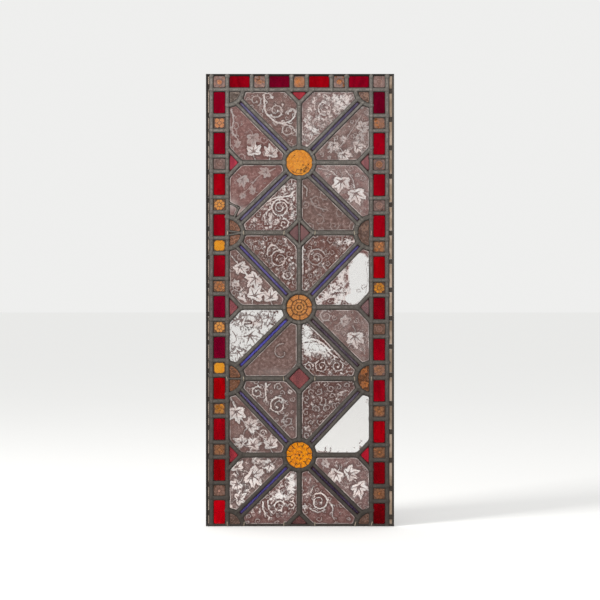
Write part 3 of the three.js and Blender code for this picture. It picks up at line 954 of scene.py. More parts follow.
            ("vine", [(-50, -10), (-84, -30), (-112, -64), (-128, -96)], 2.0, 1.4, -1), ("tangle", 46, 10, 6, -1),
            ("worn", -122, -62, 30, 38, 0.26), ("hatched", 0.6),
        ]),
        "left_upper": (BROWN, 0.22, [
            ("leaf", -133, 92, 26, -84, 1.0), ("outlined", -104, 60, 24, 40, 0.9),
            ("outlined", -120, 26, 20, 140, 0.85), ("outlined", -98, 20, 22, 70, 0.95),
            ("outlined", -60, 20, 22, 100, 0.95),
            ("vine", [(-143, 118), (-120, 74), (-84, 44), (-48, 14)], 2.2, 1.4, 0.9),
            ("scroll", -76, 46, 7, 0, 1.2, 2.4, 0.85), ("tangle", 47, 12, 5, 0.6), ("hatched", 0.4),
        ]),
    },
}


def paint_quarry(points, hub, wear, shapes):
    painting = Painting(points - hub, 0.35, wear)
    for shape, *numbers in shapes:
        getattr(painting, shape)(*numbers)
    return painting


# ---- Materials -------------------------------------------------------------------------------------
class Nodes:
    """Short words for building a material's nodes."""

    def __init__(self, name):
        self.material = bpy.data.materials.new(name)
        self.material.use_nodes = True
        self.tree = self.material.node_tree
        self.tree.nodes.clear()
        self.shader = self.node("BsdfPrincipled")
        self.node("OutputMaterial", {0: self.shader.outputs[0]})
        self.place = self.node("TexCoord").outputs["Object"]

    def node(self, kind, inputs=None):
        """A new node, with its inputs fed by name or number."""
        node = self.tree.nodes.new("ShaderNode" + kind)
        for key, value in (inputs or {}).items():
            self.feed(node.inputs[key], value)
        return node

    def feed(self, socket, value):
        if isinstance(value, bpy.types.NodeSocket):
            self.tree.links.new(value, socket)
        else:
            socket.default_value = (*value, 1) if socket.type == "RGBA" else value

    def set(self, **values):
        names = {"colour": "Base Color", "roughness": "Roughness", "metallic": "Metallic", "normal": "Normal",
                 "transmission": "Transmission Weight", "specular": "Specular IOR Level", "ior": "IOR"}
        for key, value in values.items():
            self.feed(self.shader.inputs[names[key]], value)
        return self.material

    def maths(self, operation, a, b, clamp=False):
        node = self.node("Math", {0: a, 1: b})
        node.operation, node.use_clamp = operation, clamp
        return node.outputs[0]

    def times(self, a, b):
        return self.maths("MULTIPLY", a, b)

    def plus(self, a, b, clamp=False):
        return self.maths("ADD", a, b, clamp)

    def minus(self, a, b):
        return self.maths("SUBTRACT", a, b)

    def most(self, a, b):
        return self.maths("MAXIMUM", a, b)

    def centred(self, noise, size):
        """A noise round 0 instead of a half, made larger."""
        return self.times(self.minus(noise, 0.5), size)

    def attribute(self, name, output="Fac"):
        node = self.node("Attribute")
        node.attribute_name = name
        return node.outputs[output]

    def colour(self, name):
        return self.attribute(name, "Color")

    def noise(self, scale, detail=4.0, rough=0.55, stretch=None, distortion=0.0):
        place = self.mapping(stretch) if stretch else self.place
        inputs = {"Scale": scale, "Detail": detail, "Roughness": rough, "Distortion": distortion, "Vector": place}
        return self.node("TexNoise", inputs).outputs["Fac"]

    def mapping(self, scale, turn=0.0):
        return self.node("Mapping", {"Scale": scale, "Rotation": (0, turn, 0), "Vector": self.place}).outputs[0]

    def lines(self, scale, degrees):
        place = self.mapping((1, 1, 1), math.radians(degrees))
        inputs = {"Scale": scale, "Distortion": 1.2, "Detail": 1.0, "Detail Scale": 1.5, "Vector": place}
        return self.node("TexWave", inputs).outputs["Fac"]

    def remap(self, value, low, high, to_low=0.0, to_high=1.0, smooth=True):
        inputs = {"Value": value, "From Min": low, "From Max": high, "To Min": to_low, "To Max": to_high}
        node = self.node("MapRange", inputs)
        node.interpolation_type = "SMOOTHSTEP" if smooth else "LINEAR"
        return node.outputs["Result"]

    def mix(self, share, a, b, kind="MIX"):
        node = self.node("Mix")
        node.data_type, node.blend_type = "RGBA", kind
        for key, value in zip((0, 6, 7), (share, a, b)):
            self.feed(node.inputs[key], value)
        return node.outputs[2]

    def darkened(self, colour, by):
        return self.mix(1.0, colour, by, "MULTIPLY")

    def bump(self, height, strength, distance):
        return self.node("Bump", {"Strength": strength, "Distance": distance, "Height": height}).outputs[0]


def painted_glass():
    """Glass of the piece's own tint, under fired paint of the piece's own tone."""
    n = Nodes("painted_glass")
    fine, blotch, broad = n.noise(700, 5, 0.66), n.noise(190, 4, 0.62), n.noise(38, 3, 0.5)
    own_tint, own_tone = n.colour("tint"), n.colour("tone")
    clarity, wear, bordered = n.attribute("clarity"), n.attribute("wear"), n.attribute("bordered")
    ragged = n.centred(fine, 2.2)
    light = n.remap(n.plus(n.attribute("light"), ragged), 0.5, -0.4)
    dark = n.remap(n.plus(n.attribute("dark"), n.times(ragged, 0.5)), 0.4, -0.3)
    drawn = n.times(n.times(light, clarity), n.remap(blotch, 0.62, 0.44, 0.74, 1.0))
    outline = n.times(n.remap(n.attribute("light"), 5.2, 1.2), n.minus(1.0, light))
    outline = n.times(outline, clarity)
    cover = n.times(n.minus(1.0, drawn), n.remap(broad, 0.35, 0.65, 0.965, 1.0))
    cover = n.plus(cover, n.attribute("wash"), clamp=True)
    # Wear: blotches and pinholes where the paint has come off. It is thicker near the leads.
    grain = n.plus(n.times(blotch, 0.5), n.times(fine, 0.5))
    worn = n.minus(n.plus(wear, n.centred(n.noise(85, 3, 0.6), 1.3)), n.times(outline, 0.34))
    away = n.attribute("from_lead")
    # shade is nearness to the leads: there the paint is kept thicker, and below its tone is darkened as painted
    # shade.
    shade = n.times(n.remap(away, 10.0, 1.0), bordered)
    limit = n.remap(n.minus(worn, n.times(shade, 0.16)), 0.0, 1.0, 0.66, 0.34, smooth=False)
    lost = n.remap(n.minus(grain, limit), -0.02, 0.03)
    hatch = n.times(n.remap(n.most(n.lines(190, 45), n.lines(190, -45)), 0.80, 0.97), n.attribute("hatch"))
    hatch = n.times(hatch, n.remap(broad, 0.4, 0.6, 0.1, 0.5))
    cover = n.times(cover, n.minus(1.0, n.times(n.most(lost, hatch), 0.95)))
    cover = n.most(cover, n.times(dark, n.remap(fine, 0.34, 0.5, 0.3, 0.95)))
    # A clear line was scratched along the leads, and dirt and cement have gathered against them.
    line = n.times(n.remap(away, 0.7, 1.3), n.remap(away, 2.8, 2.0))
    line = n.times(line, n.remap(broad, 0.44, 0.62, 0.05, 0.7))
    cover = n.times(cover, n.minus(1.0, n.times(line, bordered)))
    dirt = n.remap(n.plus(away, n.times(ragged, 0.45)), 1.25, 0.25)
    cover = n.most(cover, dirt)
    tone = n.mix(n.remap(grain, 0.42, 0.56), n.darkened(own_tone, (0.55, 0.46, 0.44)), own_tone)
    tone = n.mix(n.remap(grain, 0.53, 0.62, 0.0, 0.6), tone, (0.40, 0.285, 0.265))
    tone = n.mix(n.remap(broad, 0.46, 0.66, 0.0, 0.22), tone, (0.23, 0.175, 0.16))
    # Near the leads the tone is darkened as painted shade; the outline and the dark lines darken it as drawn paint.
    for place, share, by in ((shade, 0.4, (0.48, 0.42, 0.40)), (outline, 0.9, (0.35, 0.28, 0.26)),
                             (dark, 0.8, (0.40, 0.32, 0.30))):
        tone = n.mix(n.times(place, share), tone, n.darkened(own_tone, by))
    tone = n.mix(dirt, tone, (0.030, 0.025, 0.022))
    # A thin stain is left on the bared glass, though not where hardly any paint is left.
    tint = n.mix(n.remap(fine, 0.45, 0.75), own_tint, n.darkened(own_tint, (0.86, 0.83, 0.80)))
    stain = n.times(n.remap(n.plus(broad, blotch), 0.84, 1.14, 0.25, 1.0), n.remap(wear, 1.0, 0.6))
    tint = n.mix(stain, tint, n.darkened(own_tint, (0.90, 0.77, 0.74)))
    relief = n.bump(n.plus(n.times(cover, 0.6), n.times(blotch, 0.6)), 0.35, 0.0002)
    return n.set(colour=n.mix(cover, tint, tone), roughness=n.remap(cover, 0.0, 1.0, 0.08, 0.62),
                 transmission=n.minus(1.0, n.times(cover, 0.985)), specular=0.1, ior=1.5, normal=relief)


def coloured_glass():
    """Pot-metal and flashed glass: see-through by plain values, with streaks in its colour."""
    n = Nodes("coloured_glass")
    streak = n.noise(60, 4, 0.6, stretch=(1.0, 1.0, 0.3), distortion=0.6)
    seed, patch = n.noise(420, 4, 0.62), n.noise(120, 3, 0.6)
    tint = n.colour("tint")
    dirt = n.remap(n.plus(n.attribute("from_lead"), n.centred(seed, 2.4)), 1.9, 0.1)
    colour = n.mix(n.remap(streak, 0.36, 0.64, 0.0, 0.7), tint, n.darkened(tint, (0.50, 0.50, 0.58)))
    colour = n.mix(n.remap(patch, 0.52, 0.70, 0.0, 0.6), colour, n.darkened(tint, (0.62, 0.8, 0.8)))
    colour = n.mix(n.times(n.remap(seed, 0.62, 0.74), n.attribute("scale")), colour, (0.20, 0.13, 0.12))
    colour = n.mix(n.times(n.remap(n.attribute("crack"), 0.9, 0.2), 0.9), colour, (0.02, 0.015, 0.013))
    colour = n.mix(n.times(dirt, 0.95), colour, (0.03, 0.012, 0.012))
    return n.set(colour=colour, roughness=n.remap(seed, 0.4, 0.75, 0.05, 0.22), transmission=1.0, specular=0.03,
                 ior=1.5, normal=n.bump(n.plus(streak, n.times(seed, 0.3)), 0.3, 0.0004))


# Near black for dirt on the lead, also used as painted shade at leaf edges and along the outer came.
BLACK_DIRT_AND_SHADE = (0.022, 0.018, 0.015)


def dull_lead(name="dull_lead", tone=(0.130, 0.118, 0.106), shine=0.0):
    """Old lead: grey patina, worn pale on the crowns by rubbing and lightened there further as a painted highlight,
    with dark dirt and painted shade at the leaf edges against the glass.
    """
    n = Nodes(name)
    fine, blotch, broad = n.noise(520, 5, 0.65), n.noise(85, 4, 0.6), n.noise(9, 3, 0.5)
    edge = n.attribute("edge")
    colour = n.mix(n.remap(blotch, 0.38, 0.62), tone, tuple(0.66 * c for c in tone))
    colour = n.mix(n.remap(broad, 0.42, 0.60, 0.0, 0.5), colour, (0.118, 0.104, 0.090))
    # Painted highlight: the crowns, where wear brightens the lead, are lightened further to stand for light on the
    # dome.
    rubbed_crown_highlight = n.times(n.remap(edge, 0.75, 0.2), n.remap(n.plus(fine, blotch), 0.86, 1.16))
    colour = n.mix(n.times(rubbed_crown_highlight, 0.85), colour, tuple(2.1 * c for c in tone))
    colour = n.mix(n.remap(fine, 0.42, 0.28, 0.0, 0.8), colour, (0.050, 0.042, 0.035))
    # Painted shade: the leaf edges are blackened, partly dirt and partly standing for shade beside the domed crown.
    rim_dirt_and_shade = n.remap(n.plus(edge, n.centred(fine, 0.6)), 0.80, 1.02)
    colour = n.mix(n.times(rim_dirt_and_shade, 0.92), colour, BLACK_DIRT_AND_SHADE)
    # Painted shade: the lead is made darker towards the foot of the panel, as though the light fell off downwards.
    up = n.node("SeparateXYZ", {0: n.place}).outputs["Z"]
    colour = n.mix(n.remap(up, HEIGHT * MM, 0.0, 0.0, 0.85, smooth=False), colour, (0.046, 0.036, 0.029))
    # Painted shade with dirt: the outer came's left and head sides go near black, and the round cames a little
    # darker.
    colour = n.mix(n.attribute("grime"), colour, BLACK_DIRT_AND_SHADE)
    return n.set(colour=colour, roughness=n.remap(fine, 0.3, 0.7, 0.72, 0.5), metallic=0.15 + shine,
                 specular=0.35, normal=n.bump(n.plus(fine, n.times(blotch, 1.5)), 0.5, 0.0005))


def pale_wire():
    n = Nodes("corroded_copper_wire")
    fine = n.noise(700, 4, 0.6)
    colour = n.mix(n.remap(fine, 0.4, 0.62), (0.52, 0.46, 0.36), (0.26, 0.20, 0.14))
    return n.set(colour=colour, roughness=0.7, metallic=0.1, specular=0.3, normal=n.bump(fine, 0.4, 0.0002))


def fillet_glass():
    """Cream glass, dirty and half opaque."""
    n = Nodes("cream_fillet_glass")
    fine, broad = n.noise(380, 5, 0.62), n.noise(30, 3, 0.5)
    colour = n.mix(n.remap(fine, 0.42, 0.7), n.colour("tint"), (0.30, 0.20, 0.13))
    colour = n.mix(n.remap(broad, 0.45, 0.62, 0.0, 0.4), colour, (0.66, 0.52, 0.42))
    colour = n.mix(n.remap(n.attribute("from_lead"), 0.9, 0.0), colour, (0.06, 0.045, 0.035))
    return n.set(colour=colour, roughness=0.5, transmission=0.12, specular=0.2, normal=n.bump(fine, 0.3, 0.0003))


def dark_cement():
    n = Nodes("dark_glazing_cement")
    fine = n.noise(600, 4, 0.6)
    colour = n.mix(n.remap(fine, 0.35, 0.65), (0.030, 0.024, 0.020), (0.075, 0.055, 0.042))
    return n.set(colour=colour, roughness=0.9, specular=0.2, normal=n.bump(fine, 0.5, 0.0004))


PAINTED, COLOURED, LEAD = painted_glass(), coloured_glass(), dull_lead()
SOLDER = dull_lead("old_solder", (0.152, 0.140, 0.126), 0.1)
WIRE, FILLET, CEMENT = pale_wire(), fillet_glass(), dark_cement()

CLEAR = (0.97, 0.965, 0.955)
NO_CRACK = 4.0  # millimetres from a crack at which it no longer shows


# ---- Glass pieces ----------------------------------------------------------------------------------
def painted_shell(shells, ring, tint, tone, paint, seed, bordered=1.0, pitch=FRONT_PITCH):
    """One painted glass, with what its painting says at each point."""
    vertices, faces = slab(ring, pitch, max(BACK_PITCH, pitch), seed)
    points = vertices[:, [0, 2]]
    painting = paint(points)
    numbers = {"light": np.clip(painting.light, -FAR, FAR), "dark": np.clip(painting.dark, -FAR, FAR),
               "clarity": painting.clarity, "wear": painting.wear, "wash": painting.wash,
               "hatch": painting.hatch, "bordered": bordered, "from_lead": from_lead(points)}
    shells.add(vertices, faces, numbers, {"tint": tint, "tone": tone})


def finished(shells, name, material, slot, nodes):
    """The shells as one piece, which takes the place of the nodes if there are any."""
    piece = shells.make(name, material, slot)
    if nodes:
        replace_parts(piece, *nodes)


def painted_piece(name, slot, nodes, *glass, **more):
    shells = Shells()
    painted_shell(shells, *glass, **more)
    finished(shells, name, PAINTED, slot, nodes)


def make_quarries():
    for i, light in enumerate(LIGHTS):
        hub = np.array([SPINE, HUBS[light]])
        for k, (where, (tone, wear, shapes)) in enumerate(QUARRIES[light].items()):
            node = f"quarry_{light}_{where}"
            painted_piece(f"painted_{node}", "painted_glass", (node,), front_outline(node), CLEAR, tone,
                          lambda points: paint_quarry(points, hub, wear, shapes), 10 * i + k)


def coloured_piece(name, rings, tints, slot, nodes, seed, material=None, pitch=PLAIN_PITCH, wave=0.12, scale=0.4,
                   cracks=()):
    """One or more plain glasses in one mesh, each of its own tint. Scale is how crusted they are."""
    shells = Shells()
    for k, (ring, tint) in enumerate(zip(rings, tints)):
        vertices, faces = slab(np.asarray(ring, float), pitch, pitch * 1.5, seed + 7 * k, wave)
        points = vertices[:, [0, 2]]
        crack = np.full(len(points), NO_CRACK)
        for path in cracks:
            path = np.array(path, float)
            crack = np.minimum(crack, to_segments(points, path[:-1], path[1:])[0].min(1))
        numbers = {"from_lead": from_lead(points), "crack": crack, "scale": scale}
        shells.add(vertices, faces, numbers, {"tint": tint})
    finished(shells, name, material or COLOURED, slot, nodes)


def linear(tint, lift=1.0):
    """A colour on the usual 0 to 255 scale as linear light."""
    shares = [c / 255 for c in tint]
    return tuple(min(1.0, lift * (c / 12.92 if c <= 10 / 255 else ((c + 0.055) / 1.055) ** 2.4)) for c in shares)


# Blue strips, from each hub to the corners: left top, right top, left low, right low.
STRIP_CORNERS = ("left_top", "right_top", "left_low", "right_low")
STRIP_TINTS = {
    "top": [(130, 122, 160), (112, 102, 132), (126, 118, 150), (114, 104, 124)],
    "middle": [(118, 108, 168), (108, 100, 162), (100, 98, 196), (110, 96, 108)],
    "bottom": [(112, 102, 150), (110, 100, 118), (82, 76, 140), (66, 56, 80)],
}
STRIP_CRACKS = {"middle_left_top": (84, 9), "top_right_low": (110, -6)}  # how far from the hub, and its slant
TRIANGLE_TINTS = {
    "top_left": (188, 66, 82), "top_right": (160, 104, 104), "middle_left": (164, 94, 96),
    "middle_right": (130, 100, 100), "bottom_left": (160, 54, 62), "bottom_right": (178, 28, 46),
}
LOZENGE_TINTS = {"head": (174, 58, 68), "sill": (128, 86, 84), "lower_row": (146, 84, 84)}


def strip_cracks(ring, light, corner):
    if f"{light}_{corner}" not in STRIP_CRACKS:
        return []
    away, slant = STRIP_CRACKS[f"{light}_{corner}"]
    hub = np.array([SPINE, HUBS[light]])
    along = ring.mean(0) - hub
    along /= np.hypot(*along)
    side = np.array([along[1], -along[0]]) * STRIP_HALF_WIDTH
    return [(hub + along * away - side, hub + along * (away + slant) + side)]


def plain_piece(node, tint, slot, seed, **more):
    coloured_piece(f"{node}_glass", [front_outline(node)], [tint], slot, (node,), seed, **more)


def make_small_glass():
    seed = 200
    for light, tints in STRIP_TINTS.items():
        for corner, tint in zip(STRIP_CORNERS, tints):
            node = f"blue_strip_{light}_{corner}"
            cracks = strip_cracks(front_outline(node), light, corner)
            plain_piece(node, linear(tint), "blue_glass", seed, cracks=cracks)
            seed += 1
    for seed, (place, tint) in enumerate(TRIANGLE_TINTS.items()):
        plain_piece(f"red_triangle_{place}", linear(tint, 1.15), "red_glass", 230 + seed, scale=0.6)
    for place, tint in LOZENGE_TINTS.items():
        plain_piece(f"red_lozenge_{place}", linear(tint, 1.1), "red_glass", 250, scale=0.7)
    whole = front_outline("red_lozenge_upper_row")
    halves = [clip(whole, (SPINE + side * CLEARANCE, 0), (side, 0)) for side in SIDES]
    coloured_piece("red_lozenge_upper_row_halves", halves, [linear((142, 106, 104)), linear((150, 110, 108))],
                   "red_glass", ("red_lozenge_upper_row",), 260, scale=0.8)


# ---- Roundels, bosses and small squares ------------------------------------------------------------
def arc(x, z, radius, start, end):
    turns = np.radians(np.linspace(start, end, 9))
    return np.stack([x + radius * np.cos(turns), z + radius * np.sin(turns)], 1)


def towards(degrees):
    return np.array([math.cos(math.radians(degrees)), math.sin(math.radians(degrees))])


def spoke(painting, x, z, degrees, near, far, wide, narrow=None):
    turn = towards(degrees)
    painting.stroke([(x, z) + turn * near, (x, z) + turn * far], wide, narrow or wide, -1)


def paint_top_roundel(painting, x, z):
    for dx, dz, radius in ((8, -5, 1.8), (14, -12, 2.4), (5, -15, 1.9), (19, -4, 2.0), (-4, 3, 1.1),
                           (10, -18, 1.9), (-12, -20, 1.7)):
        painting.dot(x + dx, z + dz, radius, -1)
    for radius, start, end in ((23, 225, 330), (15, 250, 340), (26, 20, 60), (18, 120, 160)):
        painting.stroke(arc(x, z, radius, start, end), 1.6, 0.8, -1)
    for degrees in (250, 278, 305, 330):
        spoke(painting, x, z, degrees, 16, 24, 1.4)


def paint_middle_roundel(painting, x, z):
    for radius, wide in ((4.0, 2.8), (10.0, 1.8), (16.8, 2.2), (27.2, 2.6)):
        painting.ring(x, z, radius, wide, -1)
    for start in range(0, 360, 45):
        spoke(painting, x, z, start + 3, 16, 28, 2.4)
        spoke(painting, x, z, start + 25, 9, 16, 1.7)


def paint_bottom_roundel(painting, x, z):
    for start in range(0, 360, 30):
        spoke(painting, x, z, start + 8, 20, 28, 2.3, 1.5)
    for start in range(0, 360, 60):
        lobe = np.array([x, z]) + 14.5 * towards(start + 20)
        painting.stroke(arc(*lobe, 5.0, start - 60, start + 100), 1.9, 1.2, -1)
        spoke(painting, x, z, start + 50, 5.5, 9.5, 1.6)
    painting.dot(x, z, 2.4, -1)
    painting.ring(x, z, 8.5, 1.0, -1)


# Roundels: (glass's tint, painter).
ROUNDELS = {
    "bottom": ((246, 158, 28), paint_bottom_roundel),
    "middle": ((222, 158, 92), paint_middle_roundel),
    "top": ((246, 170, 70), paint_top_roundel),
}
ROUNDEL_PAINT = (0.115, 0.050, 0.022)


def make_roundels():
    for seed, (light, (tint, paint)) in enumerate(ROUNDELS.items()):

        def painted(points):
            painting = Painting(points, wear=0.1)
            painting.light[:] = -FAR
            painting.clarity[:] = 0.96
            paint(painting, SPINE, HUBS[light])
            return painting

        node = f"roundel_{light}"
        painted_piece(f"amber_{node}", "amber_glass", (node,), front_outline(node), linear(tint, 1.08),
                      ROUNDEL_PAINT, painted, 300 + seed, bordered=0.0)


# Bosses: (paint's tone, glass's tint, wear, worn leaves).
BOSSES = {
    "boss_sill_left": ((0.125, 0.082, 0.066), (186, 150, 132), 0.22, []),
    "boss_sill_right": ((0.140, 0.084, 0.066), (200, 150, 120), 0.26, []),
    "boss_lower_row_left": ((0.165, 0.082, 0.050), (226, 150, 96), 0.34, []),
    "boss_lower_row_right": ((0.150, 0.068, 0.032), (222, 142, 76), 0.34,
                             [(-1, 14, 11, 100, 0.7), (0, -10, 12, 260, 0.7)]),
    "boss_upper_row_left": ((0.190, 0.100, 0.070), (238, 172, 130), 0.32, []),
    "boss_upper_row_right": ((0.130, 0.082, 0.066), (196, 160, 138), 0.26, [(0, 8, 11, 90, 0.35)]),
    "boss_head_left": ((0.118, 0.098, 0.082), (206, 196, 186), 0.24, [(5, 9, 6, 0, 0.7)]),
    "boss_head_right": ((0.165, 0.105, 0.088), (214, 176, 152), 0.30, [(2, 4, 8, -60, 0.4)]),
}


def boss_bits(node):
    """A boss's outline, or the bits it was broken into before its mending leads were let in."""
    whole = front_outline(node)
    edge = INNER[-1] + BOSS_RADIUS
    if node == "boss_lower_row_left":
        return {"upper": clip(whole, (0, ROWS[1] + CLEARANCE), (0, 1)),
                "under": clip(whole, (0, ROWS[1] - CLEARANCE), (0, -1))}
    if node == "boss_upper_row_left":
        over, under = (edge, ROWS[2] + CLEARANCE), (edge, ROWS[2] - CLEARANCE)
        above, below = np.array([4 / BOSS_RADIUS, 1.0]), np.array([5 / BOSS_RADIUS, -1.0])
        sliver = clip(clip(whole, over, -above), under, -below)
        return {"upper": clip(whole, over, above), "under": clip(whole, under, below), "sliver": sliver}
    return {"": whole}


def make_bosses():
    for seed, (node, (tone, tint, wear, leaves)) in enumerate(BOSSES.items()):

        def painted(points):
            painting = Painting(points, wear=wear)
            x, z = points.mean(0)
            for dx, dz, size, turn, clarity in leaves:
                painting.leaf(x + dx, z + dz, size, turn, clarity)
            painting.tangle(seed, 4, 6, 0.35)
            return painting

        for bit, ring in boss_bits(node).items():
            name = f"{node}_glass_{bit}" if bit else f"{node}_glass"
            painted_piece(name, "brown_glass", (node,) if bit in ("", "upper") else (), ring, linear(tint), tone,
                          painted, 330 + 3 * seed + len(bit), bordered=0.3, pitch=BOSS_PITCH)


# ---- The border ------------------------------------------------------------------------------------
def tile(x0, x1, z0, z1, gap=CLEARANCE):
    """A rectangle less a gap on each side, as between four came centre lines."""
    x0, x1, z0, z1 = x0 + gap, x1 - gap, z0 + gap, z1 - gap
    return np.array([(x0, z0), (x1, z0), (x1, z1), (x0, z1)], float)


def across(side):
    return sorted((INNER[side], OUTER[side]))


def border_tiles(side):
    """The oblongs and squares of one side from the top down, with the corner square left out."""
    levels = [HEAD] + SIDE_CUTS[side] + [EDGE_INSET]
    tiles = [tile(*across(side), low, high) for high, low in zip(levels, levels[1:])]
    return tiles[0::2], tiles[1::2]


def head_tiles():
    stations = [INNER[-1]] + HEAD_CUTS + [INNER[1]]
    tiles = [tile(a, b, HEAD, HEIGHT - EDGE_INSET) for a, b in zip(stations, stations[1:])]
    return tiles[0::2], tiles[1::2]


RED_TINTS = {
    "left": [(160, 0, 34), (160, 0, 28), (180, 0, 20), (174, 0, 24), (174, 0, 26), (142, 0, 38), (138, 0, 42),
             (192, 0, 10), (174, 0, 18), (154, 0, 8), (204, 0, 18)],
    "right": [(122, 0, 34), (172, 0, 26), (176, 0, 24), (174, 0, 22), (190, 0, 14), (150, 0, 22), (174, 0, 26),
              (176, 0, 24), (172, 0, 16), (132, 0, 12), (122, 0, 10)],
    "head": [(164, 0, 22), (128, 0, 36), (178, 0, 18), (158, 0, 32)],
}

# Small squares: (glass's tint, paint's tone, wear, kind of rosette, its clarity), top down or left to right.
TINTS = {"amber": (250, 172, 50), "pale": (238, 168, 116), "worn": (222, 150, 90), "dull": (196, 156, 142),
         "gold": (248, 176, 92)}
PAINTS = {"tan": (0.205, 0.120, 0.078), "mauve": (0.180, 0.122, 0.112), "rust": (0.150, 0.078, 0.050),
          "pale": (0.27, 0.185, 0.170)}
SQUARES = {
    "left": [
        ("pale", "mauve", 0.30, "quatrefoil", 0.8), ("dull", "mauve", 0.08, "ring", 0.12),
        ("gold", "tan", 0.32, "daisy", 0.85), ("amber", "tan", 0.44, "full", 0.9),
        ("worn", "tan", 0.34, "daisy", 0.45), ("gold", "tan", 0.38, "daisy", 0.92),
        ("amber", "tan", 0.46, "full", 0.92), ("amber", "rust", 0.32, "quatrefoil", 0.36),
        ("worn", "rust", 0.26, "quatrefoil", 0.24), ("dull", "rust", 0.24, "daisy", 0.25),
    ],
    "right": [
        ("worn", "mauve", 0.30, "full", 0.22), ("worn", "mauve", 0.24, "ring", 0.36),
        ("dull", "mauve", 0.30, "ring", 0.4), ("worn", "tan", 0.30, "quatrefoil", 0.45),
        ("amber", "rust", 0.34, "daisy", 0.6), ("dull", "rust", 0.20, "ring", 0.24),
        ("worn", "mauve", 0.30, "daisy", 0.24), ("worn", "rust", 0.26, "quatrefoil", 0.22),
        ("worn", "rust", 0.26, "daisy", 0.14), ("worn", "rust", 0.24, "daisy", 0.22),
    ],
    "head": [
        ("pale", "pale", 0.30, "boss", 0.26), ("worn", "pale", 0.34, "full", 0.45),
        ("worn", "pale", 0.30, "boss", 0.45),
    ],
    "corners": [("pale", "pale", 0.26, "boss", 0.6), ("dull", "pale", 0.20, "ring", 0.15)],
}
ROSETTES = {"quatrefoil": (4, 0.56, 0.44), "daisy": (8, 0.68, 0.28), "full": (4, 0.45, 0.62),
            "ring": (0, 0, 0.62), "boss": (0, 0, 0.44)}  # petals, their reach and width


def rosette(painting, x, z, size, kind, clarity):
    """The small flower of a border square."""
    petals, reach, width = ROSETTES[kind]
    painting.dot(x, z, size * (width if petals < 4 else 0.5), clarity)
    for k in range(petals):
        turn = 2 * math.pi * (k + 0.5) / petals
        away = size * reach
        painting.dot(x + away * math.cos(turn), z + away * math.sin(turn), size * width, clarity)
        if kind != "full":
            degrees = math.degrees(turn) + 180 / petals
            spoke(painting, x, z, degrees, size * 0.38, size * 0.85, 1.6, 1.0)
    if kind in ("quatrefoil", "daisy", "ring"):
        painting.ring(x, z, size * 0.34, size * 0.13, -1)


def make_squares(name, tiles, seed):
    """The painted squares of one run of the border in one mesh."""
    shells = Shells()
    for k, (ring, (tint, tone, wear, kind, clarity)) in enumerate(zip(tiles, SQUARES[name])):

        def painted(points):
            painting = Painting(points, wear=wear)
            x, z = ring.mean(0)
            painting.worn(x, z, 9, 9, 0.2)
            rosette(painting, x, z, 11.5, kind, clarity)
            return painting

        painted_shell(shells, ring, linear(TINTS[tint]), PAINTS[tone], painted, seed + k, bordered=0.0)
    shells.make(f"small_squares_{name}", PAINTED, "amber_glass")


def make_oblongs(name, tiles, nodes, seed):
    tints = [linear(tint) for tint in RED_TINTS[name]]
    coloured_piece(f"red_oblongs_{name}", tiles, tints, "red_glass", nodes, seed, pitch=BORDER_PITCH)


def make_border():
    for seed, side in enumerate(SIDES):
        name = SIDE_NAME[side]
        reds, squares = border_tiles(side)
        make_oblongs(name, reds, (f"border_glass_{name}",), 400 + 20 * seed)
        make_squares(name, squares, 450 + 20 * seed)
    reds, squares = head_tiles()
    make_oblongs("head", reds, (), 440)
    make_squares("head", squares, 490)
    make_squares("corners", [tile(*across(side), HEAD, HEIGHT - EDGE_INSET) for side in SIDES], 500)


# White fillets outside the border: short lengths with dirty gaps.
FILLET_TINTS = {-1: (0.60, 0.47, 0.38), 1: (0.30, 0.215, 0.15)}
FILLET_PITCH, FILLET_GAP = 59.6, 11.0
FIRST_GAP = {-1: 27.0, 1: 36.0}  # below the head
FILLET_INSET = 2.2  # from the panel's head and foot
PACKING_GAP = 0.3
PACKING_TINT = (0.1, 0.1, 0.1)


def make_fillets():
    for seed, side in enumerate(SIDES):
        name = SIDE_NAME[side]
        x0, x1 = sorted((OUTER[side] + side * CLEARANCE, side * (HALF_WIDTH - HEART - 0.3)))
        gaps = np.arange(HEIGHT - FIRST_GAP[side], FILLET_GAP + 1, -FILLET_PITCH)
        levels = [z for gap in gaps for z in (gap + FILLET_GAP / 2, gap - FILLET_GAP / 2)]
        levels = [HEIGHT - FILLET_INSET] + levels + [FILLET_INSET]
        rings = [tile(x0, x1, low, high, 0.0) for high, low in zip(levels[0::2], levels[1::2])]
        random = np.random.RandomState(70 + seed)
        tints = [tuple(np.array(FILLET_TINTS[side]) * random.uniform(0.7, 1.2)) for _ in rings]
        coloured_piece(f"white_fillets_{name}", rings, tints, "brown_glass", (), 600 + seed, FILLET,
                       BORDER_PITCH, 0.05)
        packing = [tile(x0, x1, low, high, PACKING_GAP) for high, low in zip(levels[1::2], levels[2::2])]
        tints = [PACKING_TINT] * len(packing)
        coloured_piece(f"fillet_packing_{name}", packing, tints, "lead", (), 620 + seed, CEMENT, BORDER_PITCH, 0.05)


# ---- Make the panel --------------------------------------------------------------------------------
net = came_shells()
add_edges(net)
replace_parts(net.make("lead_cames", LEAD, "lead", sharp=50), "lead_came_net")
solder_shells().make("solder_joints", SOLDER, "lead", sharp=60)
tie_shells().make("copper_tie_stubs", WIRE, "lead")
make_quarries()
make_small_glass()
make_roundels()
make_bosses()
make_border()
make_fillets()

# ---- Floor, light and camera -----------------------------------------------------------------------
PAPER = 0.86
FLOOR_REACH = 60.0


def flat_piece(name, corners, faces, look):
    mesh = bpy.data.meshes.new(name)
    mesh.from_pydata(corners, [], faces)
    mesh.materials.append(look)
    return placed(name, mesh)


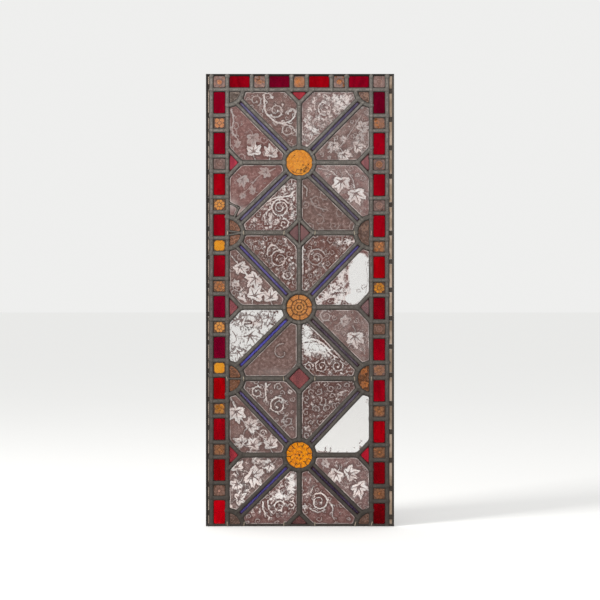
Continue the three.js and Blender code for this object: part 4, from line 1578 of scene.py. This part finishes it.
def make_stage():
    r, low = FLOOR_REACH, -0.0006
    n = Nodes("pale_floor")
    colour = n.mix(n.noise(1.5, 3, 0.5), (0.945, 0.945, 0.94), (0.955, 0.955, 0.95))
    look = n.set(colour=colour, roughness=0.9, specular=0.0)
    flat_piece("floor", [(-r, -r, low), (r, -r, low), (r, r, low), (-r, r, low)], [(0, 1, 2, 3)], look)
    world = bpy.data.worlds.new("pale_room")
    world.use_nodes = True
    background = world.node_tree.nodes["Background"]
    background.inputs["Color"].default_value = (PAPER, PAPER, PAPER * 0.99, 1)
    background.inputs["Strength"].default_value = 1.0
    bpy.context.scene.world = world


CARD_AWAY, CARD_NEAR, CARD_REACH = 4.4, 0.02, 5.0


def make_card():
    """A dark cloth behind the camera and before the panel, so the glass has no pale room to reflect. Only
    reflections see it."""
    r, near, far, low = CARD_REACH, -CARD_NEAR, -CARD_AWAY, 0.002
    corners = [(-r, near, low), (r, near, low), (r, far, low), (-r, far, low), (r, far, r), (-r, far, r)]
    n = Nodes("dark_card_cloth")
    colour = n.mix(n.noise(3.0), (0.02, 0.02, 0.02), (0.03, 0.03, 0.03))
    look = n.set(colour=colour, roughness=0.9, specular=0.0)
    card = flat_piece("dark_card", corners, [(0, 1, 2, 3), (3, 2, 4, 5)], look)
    card.visible_camera = card.visible_diffuse = card.visible_transmission = card.visible_shadow = False


def make_lamp(name, place, aim, size, power, colour):
    data = bpy.data.lights.new(name, "AREA")
    data.shape, data.size, data.energy, data.color = "SQUARE", size, power, colour
    lamp = placed(name, data)
    lamp.location = place
    lamp.rotation_euler = (Vector(aim) - Vector(place)).to_track_quat("-Z", "Y").to_euler()


CAMERA_AWAY = 3.5
FRAME_WIDTH = 1.26  # metres across the picture at the panel


def make_camera():
    data = bpy.data.cameras.new("camera")
    data.sensor_width = 36
    data.lens = 36 * CAMERA_AWAY / FRAME_WIDTH
    data.clip_end = 200
    camera = placed("camera", data)
    camera.location = (0, -CAMERA_AWAY, HEIGHT * MM / 2)
    camera.rotation_euler = (math.radians(90), 0, 0)
    bpy.context.scene.camera = camera


make_stage()
make_card()
make_lamp("key_light", (-2.1, -1.5, 2.2), (0, 0, 0.5), 0.7, 60, (1.0, 0.985, 0.96))
make_camera()
scene = bpy.context.scene
scene.view_settings.view_transform = "Standard"
scene.view_settings.look = "None"
